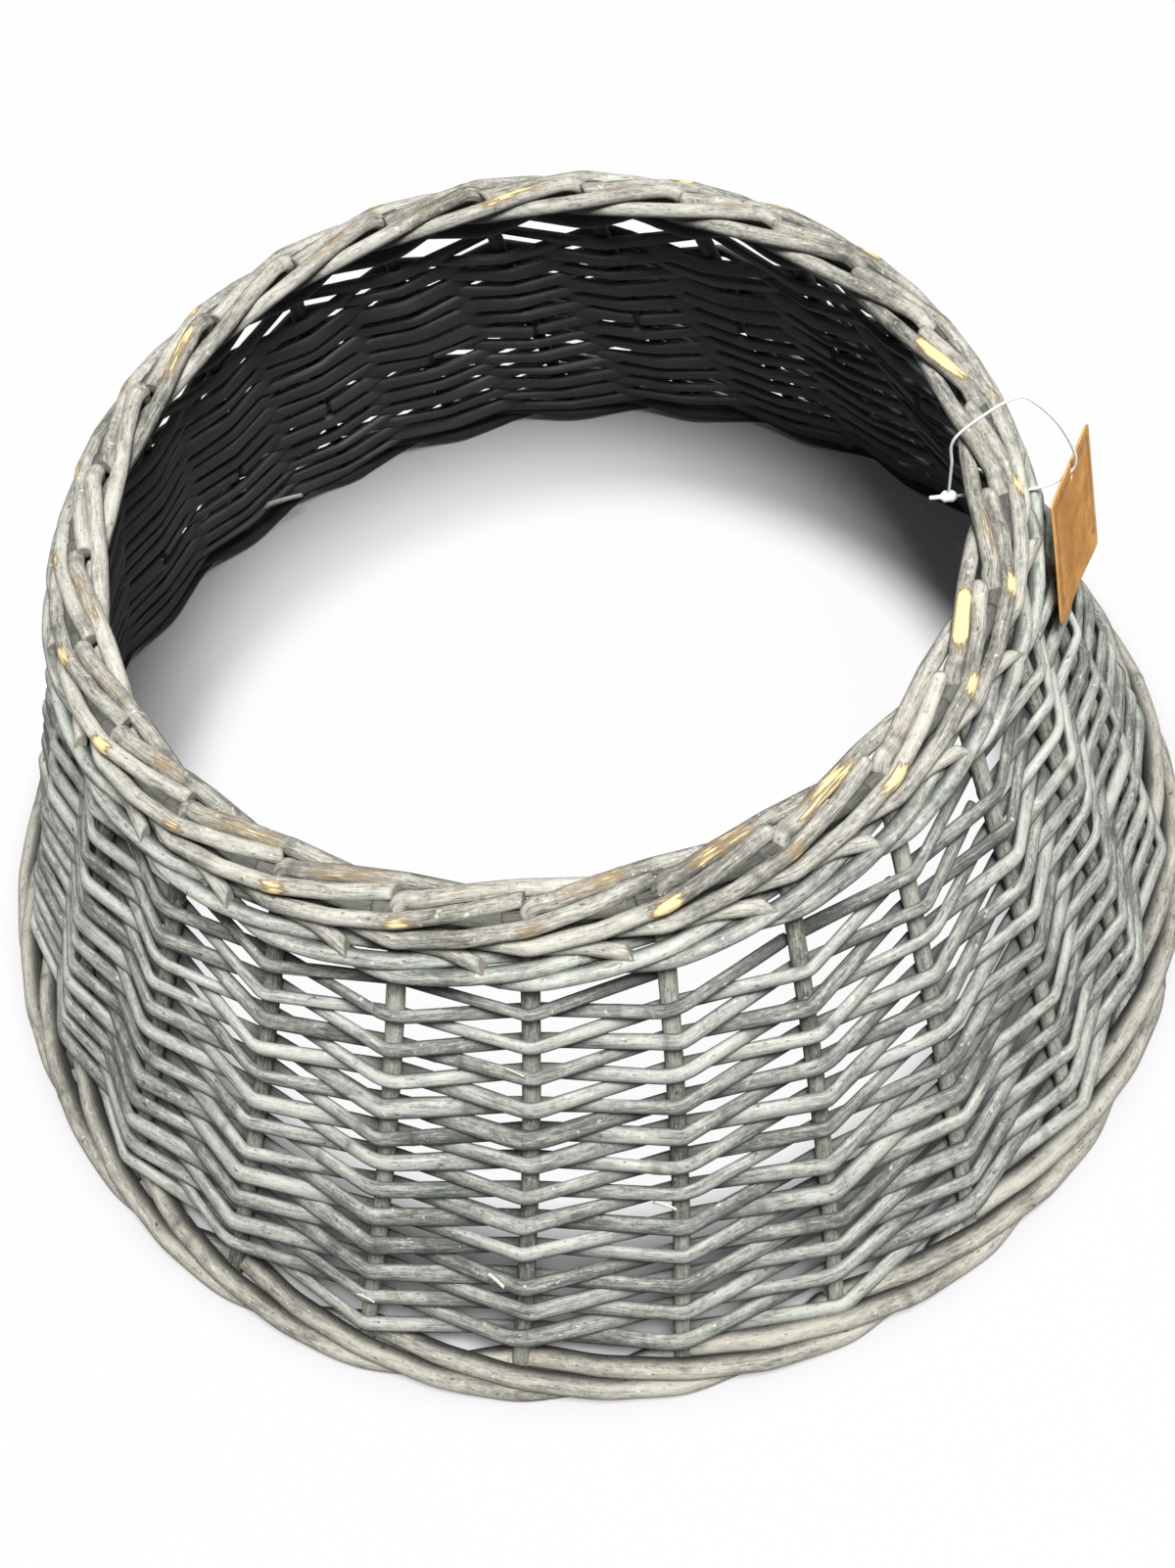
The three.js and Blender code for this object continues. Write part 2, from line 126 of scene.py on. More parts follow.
class NodeMaker:
    """Makes the nodes of one material, or of the sky."""

    def __init__(self, owner: bpy.types.ID, output: str = "ShaderNodeOutputMaterial") -> None:
        """Starts an empty node tree with its output node.

        Args:
            owner: the material or the world.
            output: the type of its output node.
        """
        owner.use_nodes = True
        self.owner = owner
        self.tree = owner.node_tree
        self.tree.nodes.clear()
        self.output = self.add(output, {}, {})

    def add(self, kind: str, settings: dict, inputs: dict) -> bpy.types.Node:
        """Makes any node.

        Args:
            kind: the node's type.
            settings: its properties, such as a Math node's operation.
            inputs: socket name or number to a Value, a socket or a constant.

        Returns:
            The new node.
        """
        node = self.tree.nodes.new(kind)
        for key, setting in settings.items():
            setattr(node, key, setting)
        for key, given in inputs.items():
            self._feed(node.inputs[key], given)
        return node

    def _feed(self, socket: Socket, given: object) -> None:
        """Links a socket or sets its constant.

        Args:
            socket: the input socket.
            given: a Value, a socket, or a constant, which for a colour has three numbers.
        """
        if isinstance(given, Value):
            self.tree.links.new(given.socket, socket)
        elif isinstance(given, Socket):
            self.tree.links.new(given, socket)
        else:
            socket.default_value = (*given, 1.0) if socket.type == "RGBA" else given

    def number(self, kind: str, settings: dict, inputs: dict, output: int | str = 0) -> Value:
        """Makes a node and wraps one of its outputs."""
        return Value(self, self.add(kind, settings, inputs).outputs[output])

    def mark(self, name: str) -> Value:
        """Reads a point attribute of the piece as a number."""
        return self.number("ShaderNodeAttribute", {"attribute_name": name}, {}, "Fac")

    def ray(self, kind: str) -> Value:
        """1 for the kind of ray that the light path names, else 0."""
        return self.number("ShaderNodeLightPath", {}, {}, kind)

    def place(self) -> Socket:
        """The object coordinates."""
        return self.add("ShaderNodeTexCoord", {}, {}).outputs["Object"]

    def noise(self, where: Socket, scale: float, detail: float) -> Value:
        """Noise between 0 and 1 at a place."""
        inputs = {"Vector": where, "Scale": scale, "Detail": detail, "Roughness": NOISE_ROUGHNESS}
        return self.number("ShaderNodeTexNoise", {"noise_dimensions": "3D"}, inputs, "Fac")

    def grain(self, along: float, around: float, scale: float, detail: float) -> Value:
        """Noise on the piece's own grain map, stretched.

        Args:
            along: the map's scale along the rod, per metre.
            around: the map's scale round the rod, per turn.
            scale: the noise's scale on the stretched map.
            detail: the noise's detail.

        Returns:
            The noise, between 0 and 1.
        """
        own_map = self.add("ShaderNodeUVMap", {"uv_map": GRAIN_MAP}, {})
        inputs = {"Vector": own_map.outputs[0], "Scale": (along, around, 1.0)}
        return self.noise(self.add("ShaderNodeMapping", {}, inputs).outputs[0], scale, detail)

    def layers(self, ground: object, coats: tuple) -> Socket:
        """Lays colours over each other.

        Args:
            ground: the first colour, or its socket.
            coats: for each further colour its share, a Value or a number, and the colour.

        Returns:
            The last colour's socket.
        """
        settings = {"data_type": "RGBA", "blend_type": "MIX"}
        for share, coat in coats:
            inputs = {0: share, 6: ground, 7: coat}
            ground = self.add("ShaderNodeMix", settings, inputs).outputs[2]
        return ground

    def bump(self, height: Value, strength: float, distance: float) -> Socket:
        """A normal bumped by a height."""
        inputs = {"Height": height, "Strength": strength, "Distance": distance}
        return self.add("ShaderNodeBump", {}, inputs).outputs[0]

    def end(self, kind: str, inputs: dict) -> bpy.types.ID:
        """Ends the tree with one shader.

        Args:
            kind: the shader's type.
            inputs: its sockets.

        Returns:
            The tree's owner.
        """
        shader = self.add(kind, {}, inputs)
        self.tree.links.new(shader.outputs[0], self.output.inputs["Surface"])
        return self.owner


# Finishes


@dataclass(frozen=True)
class WillowFinish:
    """Peeled willow under a thin grey wash, worn through to yellow wood in places."""

    name: str
    pale: Colour
    deep: Colour
    # inner: the colour of painted shade, laid where the shade mark is
    inner: Colour
    bare: Colour = (0.68, 0.555, 0.27)
    brown: Colour = (0.20, 0.145, 0.085)
    end_grain: Colour = (0.19, 0.17, 0.14)
    stain: Colour = (0.23, 0.19, 0.12)
    lime: Colour = (0.62, 0.63, 0.58)
    fleck: Colour = (0.035, 0.034, 0.030)
    shine: float = 0.35
    bump_strength: float = 0.55
    bump_height: float = 0.5 * MM

    def material(self) -> Material:
        """Builds the material.

        The wash is pale where blotches, streaks along the grain and the rod's own tone add up,
        and dark flecks and short cracks cut through it. The bare mark uncovers brown and then
        yellow wood. The shade mark lays painted shade, the inner colour, on what faces into the
        collar, faces down or lies behind other rods.

        Returns:
            The material.
        """
        nodes = NodeMaker(bpy.data.materials.new(self.name))
        place = nodes.place()
        blotch = nodes.noise(place, scale=55.0, detail=4.0)
        cloud = nodes.noise(place, scale=9.0, detail=2.0)
        grit = nodes.noise(place, scale=520.0, detail=2.0)
        lime = nodes.noise(place, scale=330.0, detail=2.0).step(0.66, 0.72)
        streak = nodes.grain(along=30.0, around=5.0, scale=2.2, detail=5.0)
        fibre = nodes.grain(along=90.0, around=22.0, scale=2.0, detail=3.0)
        stain = nodes.grain(along=14.0, around=3.0, scale=2.1, detail=3.0).step(0.60, 0.74)
        fleck = nodes.grain(along=150.0, around=7.0, scale=1.6, detail=2.0).step(0.64, 0.73)
        crack = nodes.grain(along=16.0, around=26.0, scale=1.7, detail=2.0).step(0.69, 0.74)
        chip = nodes.grain(along=40.0, around=13.0, scale=1.9, detail=4.0)
        wash = nodes.mark("tone") + blotch.swing(0.7) + streak.swing(1.2) + cloud.swing(0.5)
        wash = wash + grit.swing(0.45) + fibre.swing(1.1)
        wear = nodes.mark("bare") + chip.swing(1.4) + streak.swing(0.8) + blotch.swing(0.3)
        coats = (
            (wash.step(0.05, 0.95), self.pale),
            (0.35 * stain, self.stain),
            (0.55 * lime, self.lime),
            (0.75 * fleck, self.fleck),
            (0.6 * crack, self.fleck),
            (0.75 * nodes.mark("knot"), self.fleck),
            (wear.step(0.42, 0.62), self.brown),
            (wear.step(0.66, 0.84), self.bare),
            (nodes.mark("cut") * (0.55 + 0.5 * grit), self.end_grain),
            # painted shade: the inner colour over what the shade mark darkens
            (0.94 * nodes.mark("shade"), self.inner),
        )
        height = 0.6 * streak + 0.35 * fibre + 0.25 * grit - 0.5 * fleck - 0.8 * crack
        inputs = {
            "Base Color": nodes.layers(self.deep, coats),
            "Roughness": 0.66 + 0.3 * streak,
            "Specular IOR Level": self.shine,
            "Normal": nodes.bump(height, self.bump_strength, self.bump_height),
        }
        return nodes.end("ShaderNodeBsdfPrincipled", inputs)


@dataclass(frozen=True)
class CardFinish:
    """Brown kraft card with short fibres, and a plain printed frame."""

    ground: Colour = (0.42, 0.17, 0.03)
    pale: Colour = (0.66, 0.35, 0.09)
    dark: Colour = (0.20, 0.10, 0.05)
    ink: Colour = (0.11, 0.075, 0.05)
    bump_strength: float = 0.35
    bump_height: float = 0.12 * MM

    def material(self) -> Material:
        """Builds the material: clouds and fibres in the card, and ink where the print mark is.

        Returns:
            The material.
        """
        nodes = NodeMaker(bpy.data.materials.new("kraft_card"))
        place = nodes.place()
        cloud = nodes.noise(place, scale=60.0, detail=4.0)
        fibre = nodes.noise(place, scale=900.0, detail=4.0)
        patch = nodes.noise(place, scale=190.0, detail=3.0)
        speck = nodes.noise(place, scale=420.0, detail=2.0).step(0.66, 0.74)
        worn = nodes.noise(place, scale=700.0, detail=3.0).step(0.3, 0.5)
        tone = 1.1 * cloud + 0.5 * fibre + 0.4 * patch - 0.5
        coats = (
            (tone.step(0.25, 0.8), self.pale),
            (0.6 * speck, self.dark),
            (nodes.mark("print") * (0.35 + 0.5 * worn), self.ink),
            (nodes.mark("cut"), self.pale),
        )
        inputs = {
            "Base Color": nodes.layers(self.ground, coats),
            "Roughness": 0.72 + 0.2 * cloud,
            "Normal": nodes.bump(fibre, self.bump_strength, self.bump_height),
        }
        return nodes.end("ShaderNodeBsdfPrincipled", inputs)


@dataclass(frozen=True)
class NylonFinish:
    """White moulded nylon, a little milky."""

    light: Colour = (0.86, 0.87, 0.88)
    dull: Colour = (0.70, 0.72, 0.74)
    milkiness: float = 0.15

    def material(self) -> Material:
        """Builds the material: faint clouds in white, smooth and half glossy.

        Returns:
            The material.
        """
        nodes = NodeMaker(bpy.data.materials.new("white_nylon"))
        cloud = nodes.noise(nodes.place(), scale=300.0, detail=2.0)
        inputs = {
            "Base Color": nodes.layers(self.light, ((cloud.step(0.35, 0.7), self.dull),)),
            "Roughness": 0.26 + 0.12 * cloud,
            "Subsurface Weight": self.milkiness,
        }
        return nodes.end("ShaderNodeBsdfPrincipled", inputs)


@dataclass(frozen=True)
class FloorFinish:
    """Pale studio floor: near white to the camera, and greyer in the light that it throws back.

    The camera sees it lifted to white well inside and well outside the collar, and as it is lit
    in the ring under the wall, where the shadow lies.
    """

    seen: Colour = (0.44, 0.44, 0.44)
    bounced: Colour = (0.10, 0.10, 0.10)
    lift: float = 0.02
    lift_inside: float = 0.95
    lift_outside: float = 0.97
    inside: Span = (192 * MM, 232 * MM)
    outside: Span = (274 * MM, 304 * MM)

    def material(self) -> Material:
        """Builds the material: camera and glossy rays see it paler, and lifted away from the wall.

        Returns:
            The material.
        """
        nodes = NodeMaker(bpy.data.materials.new("studio_floor"))
        seen = nodes.ray("Is Camera Ray") + nodes.ray("Is Glossy Ray")
        colour = nodes.layers(self.bounced, ((seen, self.seen),))
        matt = nodes.add("ShaderNodeBsdfDiffuse", {}, {"Color": colour})
        white = nodes.add("ShaderNodeEmission", {}, {"Color": WHITE, "Strength": 1.0})
        length = {"operation": "LENGTH"}
        radius = nodes.number("ShaderNodeVectorMath", length, {0: nodes.place()}, "Value")
        lift = self.lift + (self.lift_inside - self.lift) * (1.0 - radius.step(*self.inside))
        lift = lift + (self.lift_outside - self.lift) * radius.step(*self.outside)
        inputs = {0: seen * lift, 1: matt.outputs[0], 2: white.outputs[0]}
        return nodes.end("ShaderNodeMixShader", inputs)


# Surfaces


@dataclass
class Surface:
    """A closed surface as whole arrays, with its grain map and its point marks."""

    points: Array
    quads: Array
    triangles: Array
    quad_map: Array
    triangle_map: Array
    marks: dict[str, Array] = field(default_factory=dict)

    def spokes(self, route: Array) -> Array:
        """Vectors from a rod's route to the points of its rings, ring by ring."""
        return self.points[:-2].reshape(len(route), -1, 3) - route[:, None, :]

    def mark(self, name: str, values: Array) -> None:
        """Sets a mark on a rod's rings, and leaves its two end centres as they are."""
        self.marks[name][:-2] = values.ravel()

    def object(self, name: str, material: Material) -> bpy.types.Object:
        """Makes the Blender object, at the origin and unturned.

        Args:
            name: the piece's name.
            material: its finish.

        Returns:
            The linked object.
        """
        mesh = bpy.data.meshes.new(name)
        quads, triangles = len(self.quads), len(self.triangles)
        corners = np.concatenate([self.quads.ravel(), self.triangles.ravel()]).astype(np.int32)
        totals = np.repeat([4, 3], [quads, triangles])
        starts = (np.cumsum(totals) - totals).astype(np.int32)
        mesh.vertices.add(len(self.points))
        mesh.vertices.foreach_set("co", self.points.astype(np.float32).ravel())
        mesh.loops.add(len(corners))
        mesh.loops.foreach_set("vertex_index", corners)
        mesh.polygons.add(len(totals))
        mesh.polygons.foreach_set("loop_start", starts)
        mesh.polygons.foreach_set("use_smooth", totals == 4)
        mesh.update(calc_edges=True)
        grain = mesh.uv_layers.new(name=GRAIN_MAP)
        grain_map = np.concatenate([self.quad_map.reshape(-1, 2), self.triangle_map.reshape(-1, 2)])
        grain.data.foreach_set("uv", grain_map.astype(np.float32).ravel())
        for mark, values in self.marks.items():
            layer = mesh.attributes.new(mark, "FLOAT", "POINT")
            layer.data.foreach_set("value", values.astype(np.float32).ravel())
        mesh.validate()
        mesh.materials.append(material)
        made = bpy.data.objects.new(name, mesh)
        bpy.context.scene.collection.objects.link(made)
        return made


def joined(surfaces: list[Surface]) -> Surface:
    """Puts several closed surfaces into one, with their marks.

    Args:
        surfaces: the surfaces, all with the same marks.

    Returns:
        The one surface, its points in the order of the list.
    """
    counts = [len(s.points) for s in surfaces]
    firsts = np.cumsum(counts) - counts
    names = surfaces[0].marks.keys()
    return Surface(
        points=np.concatenate([s.points for s in surfaces]),
        quads=np.concatenate([s.quads + first for s, first in zip(surfaces, firsts)]),
        triangles=np.concatenate([s.triangles + first for s, first in zip(surfaces, firsts)]),
        quad_map=np.concatenate([s.quad_map for s in surfaces]),
        triangle_map=np.concatenate([s.triangle_map for s in surfaces]),
        marks={name: np.concatenate([s.marks[name] for s in surfaces]) for name in names},
    )


def tube_faces(rings: int, sides: int) -> tuple[Array, Array]:
    """Faces of a tube with a fan at each end.

    Point s of ring r has number r * sides + s. The first end's centre comes after all rings, and
    the last end's centre after it.

    Args:
        rings: how many rings.
        sides: points on a ring.

    Returns:
        The quads of the tube and the triangles of both fans.
    """
    side = np.arange(sides)
    follow = (side + 1) % sides
    low = sides * np.arange(rings - 1)[:, None]
    corners = [low + side, low + follow, low + sides + follow, low + sides + side]
    centre = np.full(sides, rings * sides)
    last = (rings - 1) * sides
    first_fan = np.stack([centre, follow, side], axis=1)
    last_fan = np.stack([centre + 1, last + side, last + follow], axis=1)
    return np.stack(corners, axis=-1).reshape(-1, 4), np.concatenate([first_fan, last_fan])


def unit(vectors: Array) -> Array:
    """Scales each row to length 1."""
    return vectors / np.maximum(np.linalg.norm(vectors, axis=-1, keepdims=True), 1e-12)


def outward(points: Array) -> Array:
    """Unit level directions from the collar's axis to each point."""
    return unit(points * (1.0 - UP))


def polar(azimuth: Array, radius: Array, height: Array) -> Array:
    """Points at azimuths, radii and heights: x = r sin a, y = -r cos a, z = h."""
    azimuth, radius, height = np.broadcast_arrays(azimuth, radius, height)
    return np.stack([radius * np.sin(azimuth), -radius * np.cos(azimuth), height], axis=-1)


def ramp(values: Array) -> Array:
    """Holds values between 0 and 1."""
    return np.clip(values, 0.0, 1.0)


def bell(at: Array, middle: float, half: float, power: int = 2) -> Array:
    """A bell of height 1: e to the power of -(distance from the middle / half) ** power."""
    return np.exp(-(((at - middle) / half) ** power))


def underside(upward: Array, slope: float, start: float, most: float) -> Array:
    """Painted shade of what faces down: -slope * upward - start, held between 0 and the most."""
    return np.clip(-slope * upward - start, 0.0, most)


def bend_through(corners: Array, step: float, soften: float) -> Array:
    """Runs straight from corner to corner and rounds each bend.

    Point i is the weighted mean of the straight route over a window of the softening length,
    and past each end the route is continued straight, so the ends stay where they are.

    Args:
        corners: the places that the route goes through.
        step: distance between the route's points.
        soften: length of the window.

    Returns:
        The route's points.
    """
    reached = run_length(corners)
    count = max(int(reached[-1] / step), 8)
    at = np.linspace(0.0, reached[-1], count + 1)
    route = np.stack([np.interp(at, reached, corners[:, axis]) for axis in range(3)], axis=1)
    half = max(int(0.5 * soften / step), 1)
    window = np.hanning(2 * half + 3)[1:-1]
    window /= window.sum()
    before = 2 * route[0] - route[half:0:-1]
    after = 2 * route[-1] - route[-2 : -half - 2 : -1]
    padded = np.concatenate([before, route, after])
    return np.stack([np.convolve(padded[:, axis], window, "valid") for axis in range(3)], axis=1)


def run_length(route: Array) -> Array:
    """Distance along the route to each of its points."""
    return np.concatenate([[0.0], np.cumsum(np.linalg.norm(np.diff(route, axis=0), axis=1))])


def wander(rng: np.random.Generator, at: Array, wave: float, size: float) -> Array:
    """A smooth random line: four sines of near wavelengths with random phases.

    Args:
        rng: the seeded source of the phases.
        at: where the line is read.
        wave: its mean wavelength.
        size: its usual height.

    Returns:
        The line's heights.
    """
    waves = wave * rng.uniform(0.55, 1.7, 4)
    phases = rng.uniform(0.0, 2 * np.pi, 4)
    lines = np.sin(2 * np.pi * at[:, None] / waves + phases)
    return size * lines.sum(axis=1) / 2.0


class Profile(Enum):
    """The section of a rod."""

    ROUND = "round"
    SPLIT = "split"

    def outline(self, sides: int) -> tuple[Array, Array]:
        """The section's outline, from -1 to 1 each way.

        A round rod is a circle. A split rod is the circle with its inner half pressed flat: its
        outward share there is 0.55 times the hyperbolic tangent of 2.4 times the cosine.

        Args:
            sides: points of the outline.

        Returns:
            The outward and the crosswise share of each point.
        """
        turn = 2 * np.pi * (np.arange(sides) + 0.5) / sides
        out, across = np.cos(turn), np.sin(turn)
        if self is Profile.SPLIT:
            out = np.where(out < 0, 0.55 * np.tanh(2.4 * out), out)
        return out, across


@dataclass
class Rod:
    """A willow rod carried along a route.

    A field that ends in _wander is the wavelength and the size of a slow random change.
    """

    route: Array
    facing: Array
    half_out: Array
    half_wide: Array
    profile: Profile = Profile.ROUND
    sides: int = 14
    seed: int = 0
    tone: float = 0.5
    knots: int = 3
    end_slant: float = 0.0
    end_bevel: float = 0.0
    twist: float = 0.25
    twist_wave: float = 0.19
    knot_half: float = 1.7 * MM
    knot_swell: float = 0.06
    knot_mark: float = 0.8
    size_wander: Span = (0.034, 0.014)
    oval_wander: Span = (0.055, 0.022)
    tone_wander: Span = (0.12, 0.10)
    trim_length: float = 0.7 * MM
    trim: float = 0.14
    slant_reach: float = 4.0

    def surface(self) -> Surface:
        """Sweeps the section along the route and closes both ends.

        A point is route + out * half_out * cos + across * half_wide * sin, where out is the
        facing direction squared to the route and turned by the rod's slow twist. Knots swell the
        rod by a bell curve, both half sizes wander by a few hundredths, and a slanted end slides
        its last rings along the rod by their outward share, or by their crosswise share.

        Returns:
            The closed surface with its marks.
        """
        rng = np.random.default_rng(self.seed)
        run = run_length(self.route)
        along = unit(np.gradient(self.route, axis=0))
        out = unit(self.facing - along * np.sum(self.facing * along, axis=1, keepdims=True))
        across = np.cross(along, out)
        turn = wander(rng, run, self.twist_wave, self.twist)[:, None]
        out, across = (
            out * np.cos(turn) + across * np.sin(turn),
            across * np.cos(turn) - out * np.sin(turn),
        )
        knots = rng.uniform(0.05, 0.95, self.knots) * run[-1]
        knot = bell(run[:, None], knots, self.knot_half).sum(axis=1)
        swell = 1.0 + self.knot_swell * knot + wander(rng, run, *self.size_wander)
        ends = np.minimum(run, run[-1] - run) / self.trim_length
        swell = swell * (1.0 - self.trim * ramp(1.0 - ends) ** 2)
        share_out, share_wide = self.profile.outline(self.sides)
        wide = (self.half_wide * swell)[:, None] * share_wide
        oval = np.cos(4 * np.pi * np.arange(self.sides) / self.sides)
        oval = 1.0 + wander(rng, run, *self.oval_wander)[:, None] * oval
        deep = (self.half_out * swell)[:, None] * share_out * oval
        to_end = (run[-1] - run) / (self.slant_reach * self.half_out.mean())
        near_end = ramp(1.0 - to_end)[:, None]
        slide = self.end_slant * near_end**2 * deep + self.end_bevel * near_end * wide
        rings = self.route[:, None, :] + out[:, None, :] * deep[..., None]
        rings = rings + across[:, None, :] * wide[..., None] + along[:, None, :] * slide[..., None]
        quads, fans = tube_faces(len(run), self.sides)
        shift = rng.uniform(0.0, 5.0)
        grain = np.meshgrid(run + shift, np.arange(self.sides + 1) / self.sides, indexing="ij")
        grain = np.stack(grain, axis=-1)
        quad_map = [grain[:-1, :-1], grain[:-1, 1:], grain[1:, 1:], grain[1:, :-1]]
        fan_map = np.array([[0.5, 0.5], [0.45, 0.55], [0.55, 0.55]])
        blank = np.zeros(deep.shape)
        marks = {
            "tone": blank + (self.tone + wander(rng, run, *self.tone_wander))[:, None],
            "knot": self.knot_mark * ramp(knot)[:, None] * ramp(share_out + 0.6),
            "bare": blank,
            "shade": blank,
            "cut": blank + (ends < 0.2)[:, None],
        }
        centre = {"tone": 0.5, "cut": 1.0}
        return Surface(
            points=np.concatenate([rings.reshape(-1, 3), rings[[0, -1]].mean(axis=1)]),
            quads=quads,
            triangles=fans,
            quad_map=np.stack(quad_map, axis=2).reshape(-1, 4, 2),
            triangle_map=np.tile(fan_map, (len(fans), 1, 1)),
            marks={name: np.append(at, [centre.get(name, 0.0)] * 2) for name, at in marks.items()},
        )


# The collar


@dataclass
class CollarForm:
    """The collar's driving sizes, as the frame was built, and what follows from them."""

    stakes: int = 25
    front_degrees: float = -0.5
    height: float = 250 * MM
    foot_ring: float = 274 * MM
    neck_ring: float = 184 * MM
    twist_degrees: float = 6.6
    gap: float = 0.3 * MM
    stake_diameter: float = 7.0 * MM
    border_diameter: float = 6.8 * MM
    weavers: int = 25
    weaver_width: float = 6.8 * MM
    weaver_thickness: float = 3.4 * MM
    base_diameter: float = 8.6 * MM
    base_sides: int = 8
    base_flat: float = 0.5 * MM
    wale_diameter: float = 5.4 * MM
    filament_diameter: float = 1.2 * MM
    filament_gap: float = 0.4 * MM
    filament_drop: float = 1.4 * MM
    rise_share: float = 0.57
    border_inner_share: float = 2.21
    border_inner_rise_share: float = 0.45
    border_outer_share: float = 1.2

    def __post_init__(self) -> None:
        """Works out the sizes that follow from the driving ones."""
        self.pitch = 2 * math.pi / self.stakes
        self.front = math.radians(self.front_degrees)
        self.spacing = self.border_diameter + self.gap
        border_half = self.border_diameter / 2
        self.core = self.height - self.spacing - border_half
        border_bottom = self.core - self.spacing - border_half
        self.border_outer = self.neck_ring + self.border_outer_share * self.spacing + border_half
        self.base_rise = (self.base_diameter + self.gap) * self.rise_share
        depth = self.base_diameter / 2 * math.cos(math.pi / self.base_sides)
        self.base_height = self.base_rise + depth - self.base_flat
        base_top = self.base_height + self.base_rise + self.base_diameter / 2
        self.wale_rise = (self.wale_diameter + self.gap) * self.rise_share
        wale_top = border_bottom - self.filament_diameter - 2 * self.filament_gap
        self.slope = (self.foot_ring - self.neck_ring) / (self.core - self.base_height)
        self.lean = math.atan(self.slope)
        inner_ring = self.ring(self.core + self.border_inner_rise_share * self.spacing)
        self.border_inner = inner_ring - self.border_inner_share * self.spacing - border_half
        half_height = self.wale_rise + self.wale_diameter * (0.5 + math.sin(self.lean))
        self.wale_height = wale_top - half_height
        self.loop_height = (border_bottom + wale_top) / 2 - self.filament_drop
        beside = (self.stake_diameter / 2 + self.gap) / math.cos(self.pitch)
        self.weave_offset = beside + self.weaver_thickness / 2
        margin = self.gap + self.weaver_width / 2 + self.weave_offset * math.sin(self.lean)
        self.first_row = base_top + margin
        last_row = self.wale_height - half_height - margin
        self.span = self.stakes - 1
        self.row_pitch = (last_row - self.first_row) * self.stakes / (self.weavers * self.span)

    def stake_azimuth(self, pitches: Array, height: Array) -> Array:
        """Azimuth of a stake, or of a place between two, at a height: the stakes slant."""
        risen = (height - self.base_height) / (self.core - self.base_height)
        return self.front + pitches * self.pitch + risen * math.radians(self.twist_degrees)

    def ring(self, height: Array) -> Array:
        """Radius of the stakes' cone at a height."""
        return self.foot_ring - self.slope * (height - self.base_height)

    def wall_normal(self, points: Array) -> Array:
        """The wall's outward direction at each point, tilted up by the wall's lean."""
        return outward(points) * math.cos(self.lean) + math.sin(self.lean) * UP


@dataclass
class RodWork:
    """A set of willow rods on the collar. Each kind of set works out its own rod."""

    form: CollarForm
    finish: Material

    def rod(self, index: int) -> Surface:
        """One rod of the set, by its number."""
        raise NotImplementedError

    def fill_nodes(self, names: list[str], slot: Slot) -> None:
        """Makes one rod for each node and puts it in the node's place.

        Args:
            names: the nodes, in the order of the rods.
            slot: their material slot.
        """
        for index, name in enumerate(names):
            made = self.rod(index).object(f"willow_{name}", self.finish)
            place(made, COLLAR_BODY, slot, name)

    def add_piece(self, name: str, count: int, slot: Slot) -> None:
        """Makes the rods as one further piece on the collar.

        Args:
            name: the piece's name.
            count: how many rods.
            slot: its material slot.
        """
        made = joined([self.rod(index) for index in range(count)]).object(name, self.finish)
        place(made, COLLAR_BODY, slot)


